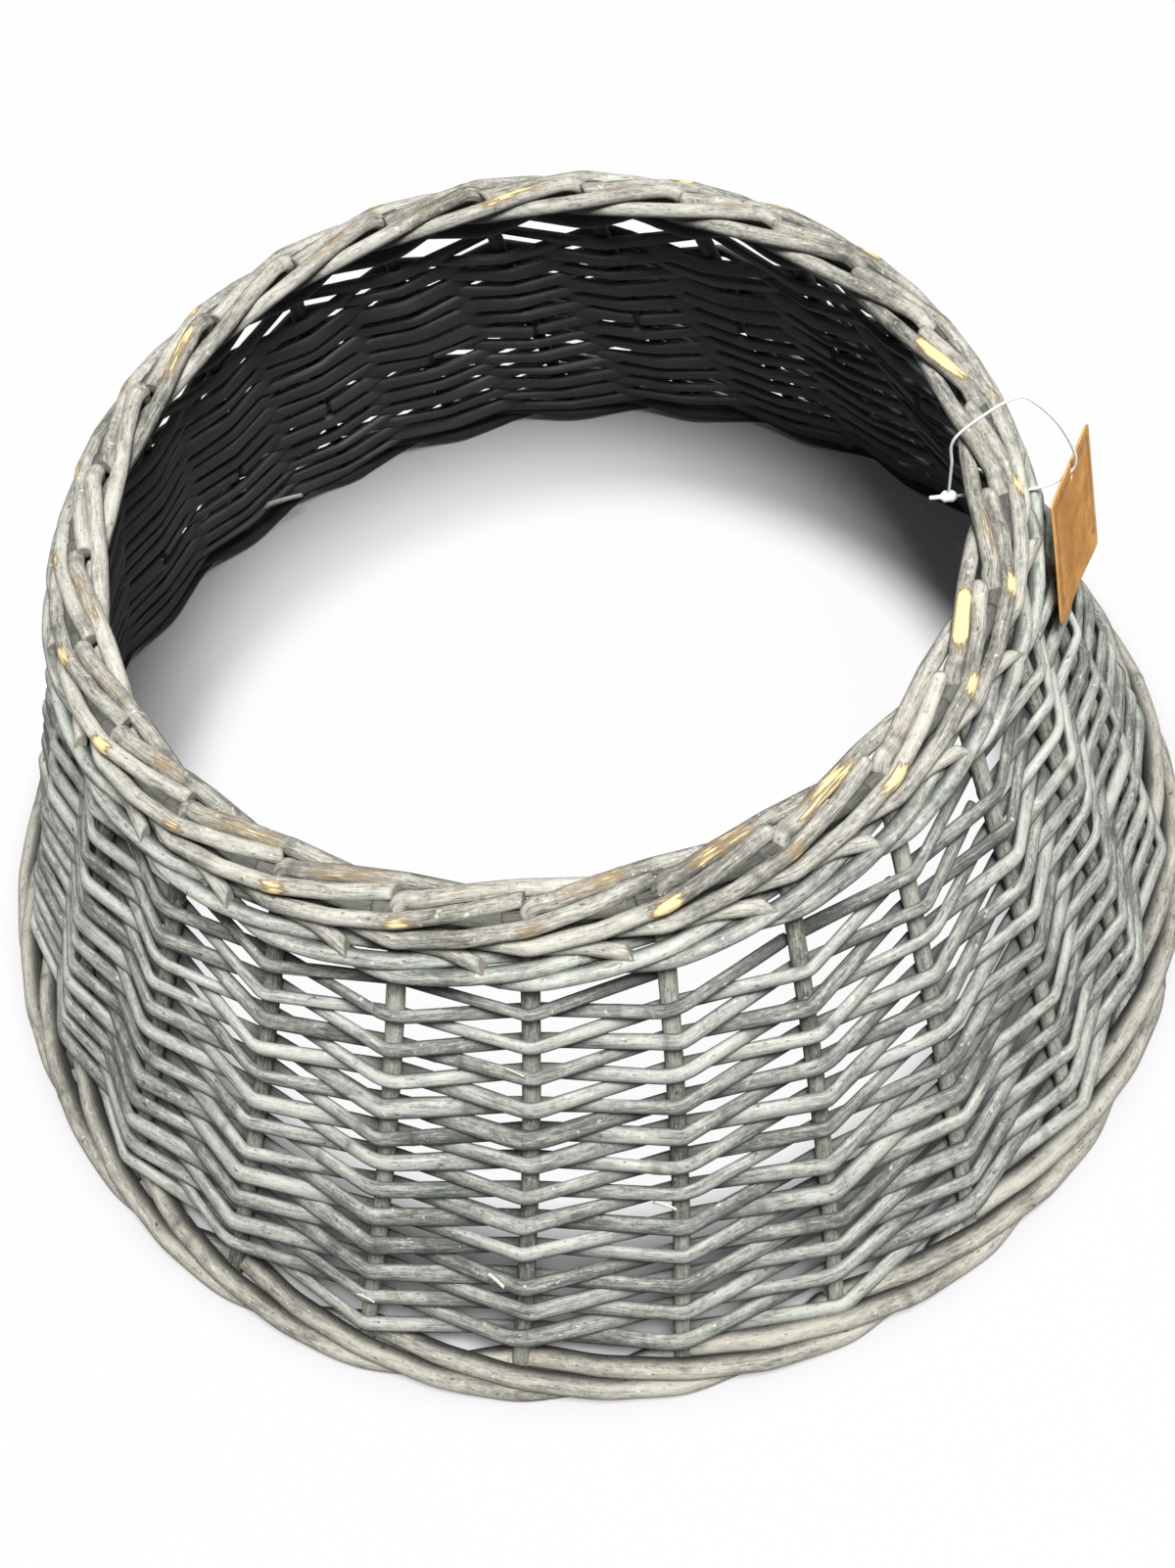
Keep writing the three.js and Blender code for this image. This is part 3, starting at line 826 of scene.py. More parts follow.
@dataclass
class Weave(RodWork):
    """The wall: 25 split rods that follow each other round as one spiral.

    A field that ends in _wander is the wavelength and the size of a slow random change, and one
    that ends in _range is what a random number is drawn from, with _mm in millimetres.
    """

    step: float = 2.0 * MM
    thickness: float = 4.7 * MM
    sharp: float = 4.5 * MM
    smooth: float = 20.0 * MM
    smooth_share: float = 0.25
    lowered: float = 7.0 * MM
    lowered_up_to: float = 90 * MM
    place_scatter: float = 0.9 * MM
    height_scatter: float = 0.55 * MM
    over_drop: float = 0.5 * MM
    behind_rise: float = 0.2 * MM
    behind_gap: float = 0.1 * MM
    end_inset: float = 1.5 * MM
    bulge_mm_range: Span = (0.6, 1.6)
    bend_range: Span = (0.8, 2.2)
    body_range: Span = (0.92, 1.17)
    tone_range: Span = (0.38, 0.68)
    taper: Span = (1.10, 0.90)
    top_row_size: float = 0.95
    low_row_gain: float = 0.29
    back_gain: float = 0.36
    back_gain_low: float = 0.14
    width_wander: Span = (0.21, 0.08)
    depth_wander: Span = (0.16, 0.05)
    shade_depth: float = 0.4
    behind_shade: float = 0.72

    def _height_shift(self, azimuth: Array, height: Array) -> Array:
        """How far the rows wander up and down, shared by neighbours: a sum of slow waves.

        Args:
            azimuth: where round the collar.
            height: how high.

        Returns:
            The shift at each place.
        """
        row = height / self.form.row_pitch
        first = np.sin(3 * azimuth + 0.21 * row) + np.sin(5 * azimuth - 0.4 * row + 1.7)
        second = np.sin(11 * azimuth + 0.9 * row + 0.6) + np.sin(8 * azimuth - 1.3 * row)
        return 0.55 * MM * first + 0.4 * MM * second

    def _crossings(self, rng: np.random.Generator, index: int) -> Array:
        """The places at which a weaver passes the stakes, outside one and behind the next.

        Args:
            rng: the weaver's random numbers.
            index: which weaver, counted up the wall.

        Returns:
            The places, from the rod's start to its end.
        """
        form = self.form
        crossing = index * form.span + np.arange(form.span + 1)
        height = form.first_row + form.row_pitch * crossing / form.stakes
        height = height - self.lowered * ramp(1.0 - (height - form.first_row) / self.lowered_up_to)
        azimuth = form.stake_azimuth(crossing, height)
        azimuth = azimuth + rng.normal(0.0, self.place_scatter, len(crossing)) / form.neck_ring
        height = height + self._height_shift(azimuth, height)
        height = height + rng.normal(0.0, self.height_scatter, len(crossing))
        side = np.where(crossing % 2 == 1, 1.0, -1.0)
        height = height - np.where(side > 0, self.over_drop, -self.behind_rise)
        bulge = rng.uniform(*self.bulge_mm_range, len(crossing)) * MM
        offset = form.weave_offset + np.where(side > 0, bulge, self.behind_gap)
        corners = polar(azimuth, form.ring(height), height)
        corners = corners + form.wall_normal(corners) * (side * offset)[:, None]
        corners[0] += unit(corners[1] - corners[0]) * self.end_inset
        corners[-1] -= unit(corners[-1] - corners[-2]) * self.end_inset
        return corners

    def rod(self, index: int) -> Surface:
        """One weaver: straight from stake to stake, kinked over the ones that it passes outside.

        Low rods are thicker, and so is each rod's stretch at the back of the collar. What faces
        into the collar, lies behind a stake or faces down gets painted shade.

        Args:
            index: which weaver, counted up the wall.

        Returns:
            Its surface.
        """
        form = self.form
        rng = np.random.default_rng(700 + index)
        corners = self._crossings(rng, index)
        smooth = rng.uniform() < self.smooth_share
        soften = self.smooth if smooth else self.sharp * rng.uniform(*self.bend_range)
        route = bend_through(corners, self.step, soften)
        run = run_length(route)
        body = rng.uniform(*self.body_range) * np.interp(run, run[[0, -1]], self.taper)
        low = 1.0 - index / (form.weavers - 1)
        radius = np.linalg.norm(route[:, :2], axis=1)
        back = (0.5 + 0.5 * route[:, 1] / radius) ** 2
        row_size = self.top_row_size + self.low_row_gain * np.sqrt(low)
        back_gain = self.back_gain - self.back_gain_low * low
        body = body * row_size * (1.0 + back_gain * back)
        width = 0.5 * form.weaver_width * body
        wider = 1.0 + wander(rng, run, *self.width_wander)
        depth = 0.5 * self.thickness * np.sqrt(body)
        deeper = 1.0 + wander(rng, run, *self.depth_wander)
        normal = form.wall_normal(route)
        rod = Rod(
            route=route,
            facing=normal,
            half_out=depth * deeper,
            half_wide=width * wider,
            profile=Profile.SPLIT,
            sides=12,
            seed=900 + index,
            tone=rng.uniform(*self.tone_range),
            knots=5,
            twist=0.20,
        )
        surface = rod.surface()
        spokes = surface.spokes(route)
        out = np.sum(spokes * normal[:, None, :], axis=2)
        # painted shade: the inner face, the underside and the stretches behind the stakes
        painted_inner_shade = ramp(0.5 - out / (self.shade_depth * self.thickness))
        behind = ramp((form.ring(route[:, 2]) - radius) / form.weave_offset)[:, None]
        up_wall = math.cos(form.lean) * UP - outward(route) * math.sin(form.lean)
        upward = np.sum(unit(spokes) * up_wall[:, None, :], axis=2)
        shade = np.maximum(painted_inner_shade, underside(upward, 1.6, 0.4, 0.9))
        surface.mark("shade", np.maximum(shade, self.behind_shade * behind))
        return surface

    def build(self) -> None:
        """Makes every weaver."""
        names = [f"weaver_{index + 1:02d}" for index in range(self.form.weavers)]
        self.fill_nodes(names, Slot.WEAVER)


@dataclass(frozen=True)
class Worn:
    """Bare wood on a rod: the range of its strength, and its stretch in stake pitches."""

    strength: Span
    middle: float
    half: float
    power: int = 2

    def along(self, rng: np.random.Generator, pitches: Array) -> Array:
        """A drawn strength times a bell along the rod."""
        return rng.uniform(*self.strength) * bell(pitches, self.middle, self.half, self.power)


@dataclass
class Stakes(RodWork):
    """The stakes, each bent over at the neck to make its own stretch of the border.

    A place on the border is the stakes' pitches past the elbow, and how far out and how far up
    it is in border spacings. Places of wear are in stake pitches past the elbow too. A field that
    ends in _range is what a random number is drawn from, with _mm in millimetres.
    """

    step: float = 1.6 * MM
    foot: float = 1.6 * MM
    bend: float = 4.3 * MM
    soften_stem: float = 2.0 * MM
    soften_border: float = 8.0 * MM
    thickening: float = 30 * MM
    thickened: float = 4 * MM
    tip_share: float = 0.93
    thick_range: Span = (0.95, 1.01)
    oval_range: Span = (0.97, 1.04)
    tone_range: Span = (0.42, 0.66)
    slant_range: Span = (-0.7, 0.7)
    elbow_wear: Worn = Worn((0.34, 0.74), 0.42, 0.42, 4)
    kink_wear: Worn = Worn((0.55, 1.1), 4.0, 0.15)
    top_wear_range: Span = (0.0, 0.5)
    top_place_range: Span = (0.4, 3.9)
    top_half: float = 0.3
    split_stake: int = 3
    split_strength: float = 1.6
    split_middle: float = 0.45
    split_half: float = 0.24
    wall_gap: float = 12 * MM
    fade: float = 8 * MM
    low_fade: float = 6 * MM
    fold_mm_range: Span = (-1.5, 0.5)
    fold_spacing_mm: float = 1.7
    fold_half: float = 0.5 * MM
    fold_strength_range: Span = (0.3, 0.7)
    places: tuple = (
        (0.15, -0.04, 1.0),
        (0.5, -0.7, 0.95),
        (1.0, -1.38, 0.55),
        (1.5, -1.5, 0.1),
        (2.0, -1.1, -0.5),
        (2.5, 0.0, -0.92),
        (3.0, 0.95, -0.55),
        (3.5, 0.98, 0.0),
        (4.0, 0.88, 0.52),
        (4.5, 0.16, 0.7),
        (4.97, -0.5, 0.84),
    )

    def route(self, index: int) -> tuple[Array, float]:
        """The stake's route from its foot, over its elbow and along the border.

        Args:
            index: which stake.

        Returns:
            The points, and how far along them the elbow is.
        """
        form = self.form
        top = form.core + form.spacing
        levels = np.linspace(self.foot, top - self.bend, 10)
        stem = polar(form.stake_azimuth(index, levels), form.ring(levels), levels)
        turn = np.linspace(0.0, math.pi / 2, 6)[1:]
        level = top - self.bend + self.bend * np.sin(turn)
        ahead = self.bend * (1.0 - np.cos(turn)) / form.neck_ring
        out = self.places[0][1] * form.spacing
        elbow = polar(form.stake_azimuth(index, level) + ahead, form.ring(level) + out, level)
        pitches, outs, ups = np.array(self.places).T
        level = form.core + ups * form.spacing
        azimuth = form.stake_azimuth(index + pitches, level)
        rim = polar(azimuth, form.ring(level) + outs * form.spacing, level)
        upright = bend_through(np.concatenate([stem, elbow]), 0.6 * self.step, self.soften_stem)
        lying = bend_through(np.concatenate([elbow[-1:], rim]), self.step, self.soften_border)
        return np.concatenate([upright, lying[1:]]), run_length(upright)[-1]

    def rod(self, index: int) -> Surface:
        """One stake with its border stretch.

        Args:
            index: which stake.

        Returns:
            Its surface.
        """
        form = self.form
        rng = np.random.default_rng(300 + index)
        route, elbow = self.route(index)
        run = run_length(route)
        stem = 0.5 * form.stake_diameter
        thick = 0.5 * form.border_diameter * rng.uniform(*self.thick_range)
        steps = elbow + np.array([-self.thickening, -self.thickened, self.thickening])
        sizes = [stem, stem, thick, thick, self.tip_share * thick]
        radius = np.interp(run, [0.0, *steps, run[-1]], sizes)
        rod = Rod(
            route=route,
            facing=outward(route) + 0.4 * UP,
            half_out=radius,
            half_wide=radius * rng.uniform(*self.oval_range),
            sides=16,
            seed=400 + index,
            tone=rng.uniform(*self.tone_range),
            knots=2,
            end_slant=rng.uniform(*self.slant_range),
            twist=0.05,
        )
        surface = rod.surface()
        self._wear(rng, index, surface, route, run - elbow)
        return surface

    def _wear(
        self, rng: np.random.Generator, index: int, surface: Surface, route: Array, past: Array
    ) -> None:
        """Marks a stake: bare wood at the elbow and at the kink round a stake, folds, painted
        shade, and a slightly darker tone in the wall.

        Each worn place is a bell along the rod times a share of how far a point faces up or out.

        Args:
            rng: the stake's random numbers.
            index: which stake.
            surface: the stake's surface, which gets the marks.
            route: its route.
            past: the length from the elbow to each ring.
        """
        form = self.form
        direction = unit(surface.spokes(route))
        out = np.sum(direction * outward(route)[:, None, :], axis=2)
        upward = direction[..., 2]
        pitches = past / (form.neck_ring * form.pitch)
        at_elbow = self.elbow_wear.along(rng, pitches)
        at_kink = self.kink_wear.along(rng, pitches)
        along_top = rng.uniform(*self.top_wear_range)
        along_top = along_top * bell(pitches, rng.uniform(*self.top_place_range), self.top_half)
        crown = ramp(0.25 + 0.9 * upward + 0.35 * out)
        flank = ramp(0.15 + 0.8 * out + 0.6 * upward)
        bare = (at_elbow + along_top)[:, None] * crown + at_kink[:, None] * flank
        if index == self.split_stake:
            split = self.split_strength * bell(pitches, self.split_middle, self.split_half, 6)
            bare = bare + split[:, None] * ramp(2.4 * upward - 1.3)
        # painted shade: the inward face in the wall and low down, and the border's undersides
        in_wall = ramp((-past - self.wall_gap) / self.fade)[:, None]
        low = ramp((form.core - route[:, 2]) / self.low_fade)[:, None]
        painted_shade = np.maximum(in_wall, 0.8 * low) * ramp(0.15 - 1.1 * out)
        lying = ramp(past / self.fade)[:, None]
        painted_shade = np.maximum(painted_shade, lying * underside(upward, 1.4, 0.15, 0.85))
        folds = (rng.uniform(*self.fold_mm_range) + np.array([0.0, self.fold_spacing_mm])) * MM
        crease = bell(past[:, None], folds, self.fold_half).sum(axis=1)
        folded = rng.uniform(*self.fold_strength_range) * crease[:, None] * ramp(0.2 + upward)
        knot = surface.marks["knot"][:-2].reshape(upward.shape)
        tone = surface.marks["tone"][:-2].reshape(upward.shape)
        surface.mark("knot", np.maximum(knot, folded))
        surface.mark("bare", bare)
        surface.mark("shade", painted_shade)
        surface.mark("tone", tone - 0.06 * in_wall)

    def build(self) -> None:
        """Makes every stake."""
        names = [f"stake_{index + 1:02d}" for index in range(self.form.stakes)]
        self.fill_nodes(names, Slot.STAKE)


@dataclass
class Wale(RodWork):
    """Three round rods, each outside two stakes and behind the third."""

    node: str
    slot: Slot
    diameter: float
    height: float
    reach: float
    rise: float
    tilt: float
    seed: int
    taper: float = 0.06
    lean_in: float = 0.0
    lift: float = 0.0
    step: float = 2.5 * MM
    soften: float = 26 * MM
    end_inset: float = 1.6 * MM
    out_steps: tuple = (-1.0, 0.0, 1.0, 1.08, 1.0, 0.0)
    rise_steps: tuple = (0.0, -1.0, -1.0, 0.0, 1.0, 1.0)

    def rod(self, index: int) -> Surface:
        """One rod of the wale: its place steps round the stakes' ring once in three pitches.

        Away from the label's loop, which sits on it, the rod may be lifted towards the border.

        Args:
            index: which of the three.

        Returns:
            Its surface.
        """
        form = self.form
        rng = np.random.default_rng(self.seed + index)
        last = form.stakes + (index - form.stakes) % 3
        half = np.arange(2 * index, 2 * last + 1)
        step = (half - 2 * index) % 6
        out = np.array(self.out_steps)[step] * self.reach
        up = np.array(self.rise_steps)[step] * self.rise
        ring = form.ring(self.height) + out * math.cos(self.tilt) - up * math.sin(self.tilt)
        ring = ring - self.lean_in * up
        level = self.height + out * math.sin(self.tilt) + up * math.cos(self.tilt)
        past_loop = half / 2 - LOOP_PITCHES
        past_loop = past_loop - form.stakes * np.round(past_loop / form.stakes)
        level = level + self.lift * ramp(0.8 * np.abs(past_loop) - 0.6)
        azimuth = form.stake_azimuth(half / 2, level)
        azimuth[0] += self.end_inset / form.foot_ring
        azimuth[-1] -= self.end_inset / form.foot_ring
        route = bend_through(polar(azimuth, ring, level), self.step, self.soften)
        run = run_length(route)
        radius = 0.5 * self.diameter * (1.0 + self.taper * (0.5 - run / run[-1]))
        rod = Rod(
            route=route,
            facing=outward(route) + 0.2 * UP,
            half_out=radius,
            half_wide=radius,
            sides=16,
            seed=self.seed + 10 + index,
            tone=rng.uniform(0.5, 0.68),
            knots=9,
            twist=0.05,
        )
        surface = rod.surface()
        surface.points[:, 2] = np.maximum(surface.points[:, 2], 0.0)
        # painted shade on the inner face and the underside
        direction = unit(surface.spokes(route))
        painted_inner_shade = ramp(0.3 - 1.3 * np.sum(direction * outward(route)[:, None, :], axis=2))
        surface.mark("shade", np.maximum(painted_inner_shade, underside(direction[..., 2], 1.4, 0.3, 0.9)))
        return surface

    def build(self) -> None:
        """Makes the three rods."""
        self.fill_nodes([f"{self.node}_{index + 1}" for index in range(3)], self.slot)


def neck_wale(form: CollarForm, finish: Material) -> Wale:
    """The thin wale under the border, square to the wall.

    Args:
        form: the collar's sizes.
        finish: the rods' material.

    Returns:
        The wale, not built yet.
    """
    return Wale(
        form=form,
        finish=finish,
        node="neck_wale_rod",
        slot=Slot.WEAVER,
        diameter=1.24 * form.wale_diameter,
        height=form.wale_height,
        lift=3.4 * MM,
        reach=0.5 * (form.stake_diameter + form.wale_diameter) + 2 * form.gap,
        rise=form.wale_rise,
        tilt=form.lean,
        seed=60,
    )


def base_wale(form: CollarForm, finish: Material) -> Wale:
    """The thick wale round the stakes' feet, level on the floor.

    Args:
        form: the collar's sizes.
        finish: the rods' material.

    Returns:
        The wale, not built yet.
    """
    beside = 0.5 * (form.stake_diameter + form.base_diameter) + 2 * form.gap
    return Wale(
        form=form,
        finish=finish,
        node="base_rod",
        slot=Slot.BASE,
        diameter=1.14 * form.base_diameter,
        height=form.base_height,
        reach=1.1 * beside / math.cos(form.lean),
        rise=-0.92 * form.base_rise,
        tilt=0.0,
        out_steps=(-0.45, 0.4, 0.92, 1.04, 0.92, 0.4),
        seed=80,
        lean_in=form.slope,
    )


@dataclass
class BorderTips(RodWork):
    """Short cut tails that stick out between the border and the wale, one at each stake. Their
    stretch through the border's core is painted dark as shade, and fills the slots between the
    border rods.

    The route's places are stake pitches before the stake, millimetres outside the neck ring and
    millimetres above the border's core.
    """

    radius: float = 2.8 * MM
    step: float = 1.2 * MM
    soften: float = 8 * MM
    pitches: tuple = (-5.2, -4.4, -3.6, -2.9, -2.3, -1.6, -1.05, -0.62)
    last_pitch_range: Span = (-0.33, -0.22)
    outs: tuple = (0.2, 0.8, 0.0, -1.0, 1.0, 3.5, 6.0, 7.6, 12.6)
    ups: tuple = (2.6, 2.6, 0.0, -4.0, -6.8, -4.5, -7.0, -6.9, -10.0)
    shade_at: tuple = (0.0, 0.22, 0.32, 0.74, 0.82)
    shade: tuple = (0.8, 0.85, 1.0, 1.0, 0.0)

    def rod(self, index: int) -> Surface:
        """One tail: painted dark as shade in the border's core, out and down under it, and cut on
        the slant.

        Args:
            index: the stake that it points at.

        Returns:
            Its surface.
        """
        form = self.form
        rng = np.random.default_rng(500 + index)
        pitches = index + np.array([*self.pitches, rng.uniform(*self.last_pitch_range)])
        radius = form.neck_ring + np.array(self.outs) * MM
        level = form.core + np.array(self.ups) * MM
        azimuth = form.stake_azimuth(pitches, level)
        route = bend_through(polar(azimuth, radius, level), self.step, self.soften)
        size = np.full(len(route), self.radius * rng.uniform(0.9, 1.08))
        rod = Rod(
            route=route,
            facing=outward(route) + 0.5 * UP,
            half_out=size,
            half_wide=size * 1.1,
            seed=540 + index,
            tone=rng.uniform(0.5, 0.72),
            knots=0,
            end_slant=rng.uniform(0.1, 0.4),
            end_bevel=rng.uniform(0.5, 1.1),
        )
        surface = rod.surface()
        run = run_length(route)
        # painted shade: dark through the border's core, none at the cut tip
        shade = np.interp(run / run[-1], self.shade_at, self.shade)
        surface.mark("shade", np.repeat(shade, rod.sides))
        return surface

    def build(self) -> None:
        """Makes the tails."""
        self.add_piece("border_tips", self.form.stakes, Slot.STAKE)


@dataclass
class LooseSplits(RodWork):
    """Pale slivers of split willow, torn loose and caught in the weave.

    Each sliver is given by the azimuth in degrees and the height of its two ends, and by how far
    it lies outside the stakes' ring. The first is the long one inside, low at the back.
    """

    rings: int = 16
    curl: float = 1.2 * MM
    half_thick: float = 0.7 * MM
    half_wide: Span = (2.5 * MM, 1.7 * MM)
    ends: tuple = (
        (214.0, 40 * MM, 208.5, 25 * MM, -9.0 * MM),
        (-12.5, 184 * MM, -10.5, 181 * MM, 8.6 * MM),
        (-16.5, 75 * MM, -15.0, 69 * MM, 8.6 * MM),
        (-0.5, 111 * MM, 1.5, 106 * MM, 8.6 * MM),
        (-27.5, 43 * MM, -29.0, 47 * MM, 8.6 * MM),
    )

    def rod(self, index: int) -> Surface:
        """One sliver: a thin flat strip, straight between its ends and cut on the slant.

        Args:
            index: which of the slivers.

        Returns:
            Its surface.
        """
        first, low, last, high, out = self.ends[index]
        side = np.sign(out)
        level = np.linspace(low, high, self.rings)
        curl = side * self.curl * np.linspace(0.0, 1.0, self.rings) ** 2
        ring = self.form.ring(level) + out + curl
        route = polar(np.radians(np.linspace(first, last, self.rings)), ring, level)
        size = 1.0 if index == 0 else 0.5
        rod = Rod(
            route=route,
            facing=outward(route) * side,
            half_out=np.full(self.rings, self.half_thick * size),
            half_wide=np.linspace(*self.half_wide, self.rings) * size,
            profile=Profile.SPLIT,
            sides=12,
            seed=770 + index,
            tone=0.6,
            knots=0,
            end_bevel=0.9,
            twist=0.2,
        )
        return rod.surface()

    def build(self) -> None:
        """Makes the slivers."""
        self.add_piece("loose_splits", len(self.ends), Slot.WEAVER)


# The label


@dataclass
class Label:
    """The nylon loop, its lock and the card tag, in the upright plane of their azimuth."""

    form: CollarForm
    nylon: Material
    card: Material
    pitches: float = LOOP_PITCHES
    width: float = 60 * MM
    length: float = 58 * MM
    thickness: float = 0.8 * MM
    corner: float = 2 * MM
    hole: float = 4 * MM
    hole_inset: float = 5 * MM
    hole_gap: float = 0.5 * MM
    off_wall_degrees: float = 8.0
    yaw_degrees: float = 21.2
    roll_degrees: float = -14.0
    standoff: float = 16.2 * MM
    hang_rise: float = 8.4 * MM
    headroom: float = 30 * MM
    bulge: float = 3.5 * MM
    wall_gap: float = 0.7 * MM
    lock_shift: float = 3.0 * MM
    lock_diameter: float = 4.8 * MM
    lock_length: float = 6.4 * MM
    pin_diameter: float = 1.8 * MM
    pin_length: float = 4.4 * MM
    bow: float = 0.5 * MM
    corner_bend: float = 1.2 * MM
    frames: tuple = ((4 * MM, 0.45 * MM), (5.6 * MM, 0.2 * MM))
    grain_scale: float = 10.0

    def __post_init__(self) -> None:
        """Works out the radii and heights that the pieces share."""
        form = self.form
        self.hang_radius = form.border_outer + self.standoff
        self.hang_height = form.loop_height + self.hang_rise
        self.lock_radius = form.border_inner - form.filament_diameter / 2 - self.wall_gap
        self.lock_radius += self.lock_shift
        self.top = form.height + self.headroom
        azimuth = form.stake_azimuth(self.pitches, form.loop_height)
        self.outward = np.array([math.sin(azimuth), -math.cos(azimuth), 0.0])
        self.sideways = np.array([math.cos(azimuth), math.sin(azimuth), 0.0])

    def _turned(self, radius: Array, side: Array, height: Array) -> Array:
        """Points from radius, sideways place and height in the label's own plane."""
        parts = np.stack(np.broadcast_arrays(radius, side, height), axis=-1)
        return parts @ np.stack([self.outward, self.sideways, UP])

    def loop(self) -> Surface:
        """The filament: a thin round section along the frame's route, smoothed.

        Returns:
            Its surface.
        """
        form, top, bulge = self.form, self.top, self.bulge
        low, rise = form.loop_height, self.top - form.loop_height
        places = np.array(
            [
                (self.lock_radius + self.lock_length / 2 + form.gap, low),
                (form.neck_ring, low),
                (form.border_outer, low),
                (self.hang_radius - 0.4 * self.standoff, low + 0.3 * self.hang_rise),
                (self.hang_radius, self.hang_height),
                (self.hang_radius + 0.4 * bulge, self.hang_height + 0.12 * rise),
                (self.hang_radius - 0.3 * bulge, self.hang_height + 0.28 * rise),
                (form.border_outer + 0.5 * self.standoff, top - 0.3 * rise),
                (form.border_outer - 0.1 * self.standoff, top - 0.07 * rise),
                (form.neck_ring + bulge, top),
                (form.neck_ring - 2 * bulge, top - 0.13 * rise),
                (self.lock_radius, top - 0.38 * rise),
                (self.lock_radius, low + 0.35 * rise),
                (self.lock_radius, low + self.lock_diameter / 2 + form.gap),
            ]
        )
        curve = through_places(places, 24)
        route = self._turned(curve[:, 0], 0.0, curve[:, 1])
        size = np.full(len(route), form.filament_diameter / 2)
        facing = np.tile(self.sideways, (len(route), 1))
        return Rod(route, facing, size, size, sides=12, seed=5, knots=0, twist=0.0).surface()

    def lock(self) -> Surface:
        """The lock: a barrel turned round the radial direction, with two moulded collars.

        Returns:
            Its surface.
        """
        half, pin = self.lock_length / 2, self.pin_diameter / 2
        rim = [(-1.0, 0.30), (-1.0, 0.52), (-0.94, 0.62), (-0.60, 0.97), (-0.50, 1.0), (-0.30, 1.0)]
        waist = [(-0.24, 0.93), (0.24, 0.93), (0.30, 1.0), (0.50, 1.0), (0.62, 0.92)]
        barrel = np.array(rim + waist) * (half, self.lock_diameter / 2)
        stem = [
            (half, pin + 0.15 * MM),
            (half + 0.3 * MM, pin),
            (half + self.pin_length - 0.4 * MM, 0.95 * pin),
            (half + self.pin_length, 0.55 * pin),
        ]
        outline = np.concatenate([barrel, stem])
        route = self._turned(self.lock_radius - outline[:, 0], 0.0, self.form.loop_height)
        return turned_piece(route, -self.outward, UP, outline[:, 1], 28)

    def tag(self) -> Surface:
        """The card: a grid of rings from the hole's rim out to the card's edge, on both faces.

        Ring t runs from the hole at t = 0 to the rounded rectangle at t = 1, each a straight mix
        of the two outlines. The two faces are one thickness apart, and the sheet bows by a slow
        cosine across its width and bends back at the lower corner.

        Returns:
            The closed surface with its print mark.
        """
        drop = (self.hole - self.form.filament_diameter) / 2 - self.hole_gap
        turn = 2 * np.pi * np.arange(160) / 160
        hole = 0.5 * self.hole * np.stack([np.cos(turn), np.sin(turn)], axis=1)
        hole[:, 1] -= drop
        top = self.hole_inset - drop
        half, half_length = self.width / 2, self.length / 2
        middle = top - half_length
        edge = rounded_rectangle(turn, half, half_length, self.corner, -drop - middle)
        edge[:, 1] += middle
        share = np.concatenate([np.linspace(0.0, 1.0, 30)[:-1] ** 1.3, [0.995, 1.0]])
        ring = hole + (edge - hole) * share[:, None, None]
        across, up = ring[..., 0], ring[..., 1]
        down = ramp((top - up) / self.length)
        lift = self.bow * (1 - np.cos(np.pi * across / half)) * down
        lift = lift - self.corner_bend * ramp(ramp(-across / half) * down - 0.25) ** 1.3
        lines = [
            frame_line(across, up - middle, half - inset, half_length - inset, half_line)
            for inset, half_line in self.frames
        ]
        heights = [lift + self.thickness / 2, lift - self.thickness / 2]
        faces = np.stack([np.stack([across, up, height], axis=-1) for height in heights])
        return self._placed_card(faces, np.maximum(*lines))

    def _placed_card(self, faces: Array, printed: Array) -> Surface:
        """Closes the card's two faces along the edge and the hole, and hangs it on the loop.

        The card is rolled about its hole, leans outwards and is turned about the upright.

        Args:
            faces: the points of the outer and the inner face, each rings by turns.
            printed: the print mark of the outer face.

        Returns:
            The closed surface.
        """
        rings, turns = faces.shape[1:3]
        lean = self.form.lean - math.radians(self.off_wall_degrees)
        yaw, roll = math.radians(self.yaw_degrees), math.radians(self.roll_degrees)
        points = faces.reshape(-1, 3)
        across = points[:, 0] * math.cos(roll) - points[:, 1] * math.sin(roll)
        up = points[:, 0] * math.sin(roll) + points[:, 1] * math.cos(roll)
        out = points[:, 2] * math.cos(lean) - up * math.sin(lean)
        height = points[:, 2] * math.sin(lean) + up * math.cos(lean)
        radius = self.hang_radius + out * math.cos(yaw) + across * math.sin(yaw)
        side = across * math.cos(yaw) - out * math.sin(yaw)
        size = rings * turns
        last = size - turns
        k = np.arange(turns)
        n = (k + 1) % turns
        low = turns * np.arange(rings - 1)[:, None]
        high = low + turns
        front = np.stack([low + k, high + k, high + n, low + n], axis=-1).reshape(-1, 4)
        rim = np.stack([last + k, size + last + k, size + last + n, last + n], axis=1)
        bore = np.stack([k, n, size + n, size + k], axis=1)
        quads = np.concatenate([front, front[:, ::-1] + size, rim, bore])
        cut = np.zeros((2, rings, turns))
        cut[:, [0, -1]] = 0.6
        return Surface(
            points=self._turned(radius, side, self.hang_height + height),
            quads=quads,
            triangles=np.zeros((0, 3), dtype=int),
            quad_map=self.grain_scale * points[quads, :2],
            triangle_map=np.zeros((0, 3, 2)),
            marks={"print": np.stack([printed, np.zeros_like(printed)]), "cut": cut},
        )

    def build(self) -> None:
        """Makes the loop, the lock and the tag, and puts each in its node's place."""
        place(self.loop().object("nylon_loop", self.nylon), LOOP_BODY, Slot.NYLON, "tag_loop")
        place(self.lock().object("nylon_lock", self.nylon), LOOP_BODY, Slot.NYLON, "loop_lock")
        place(self.tag().object("kraft_tag", self.card), LABEL_BODY, Slot.CARD, "swing_tag")


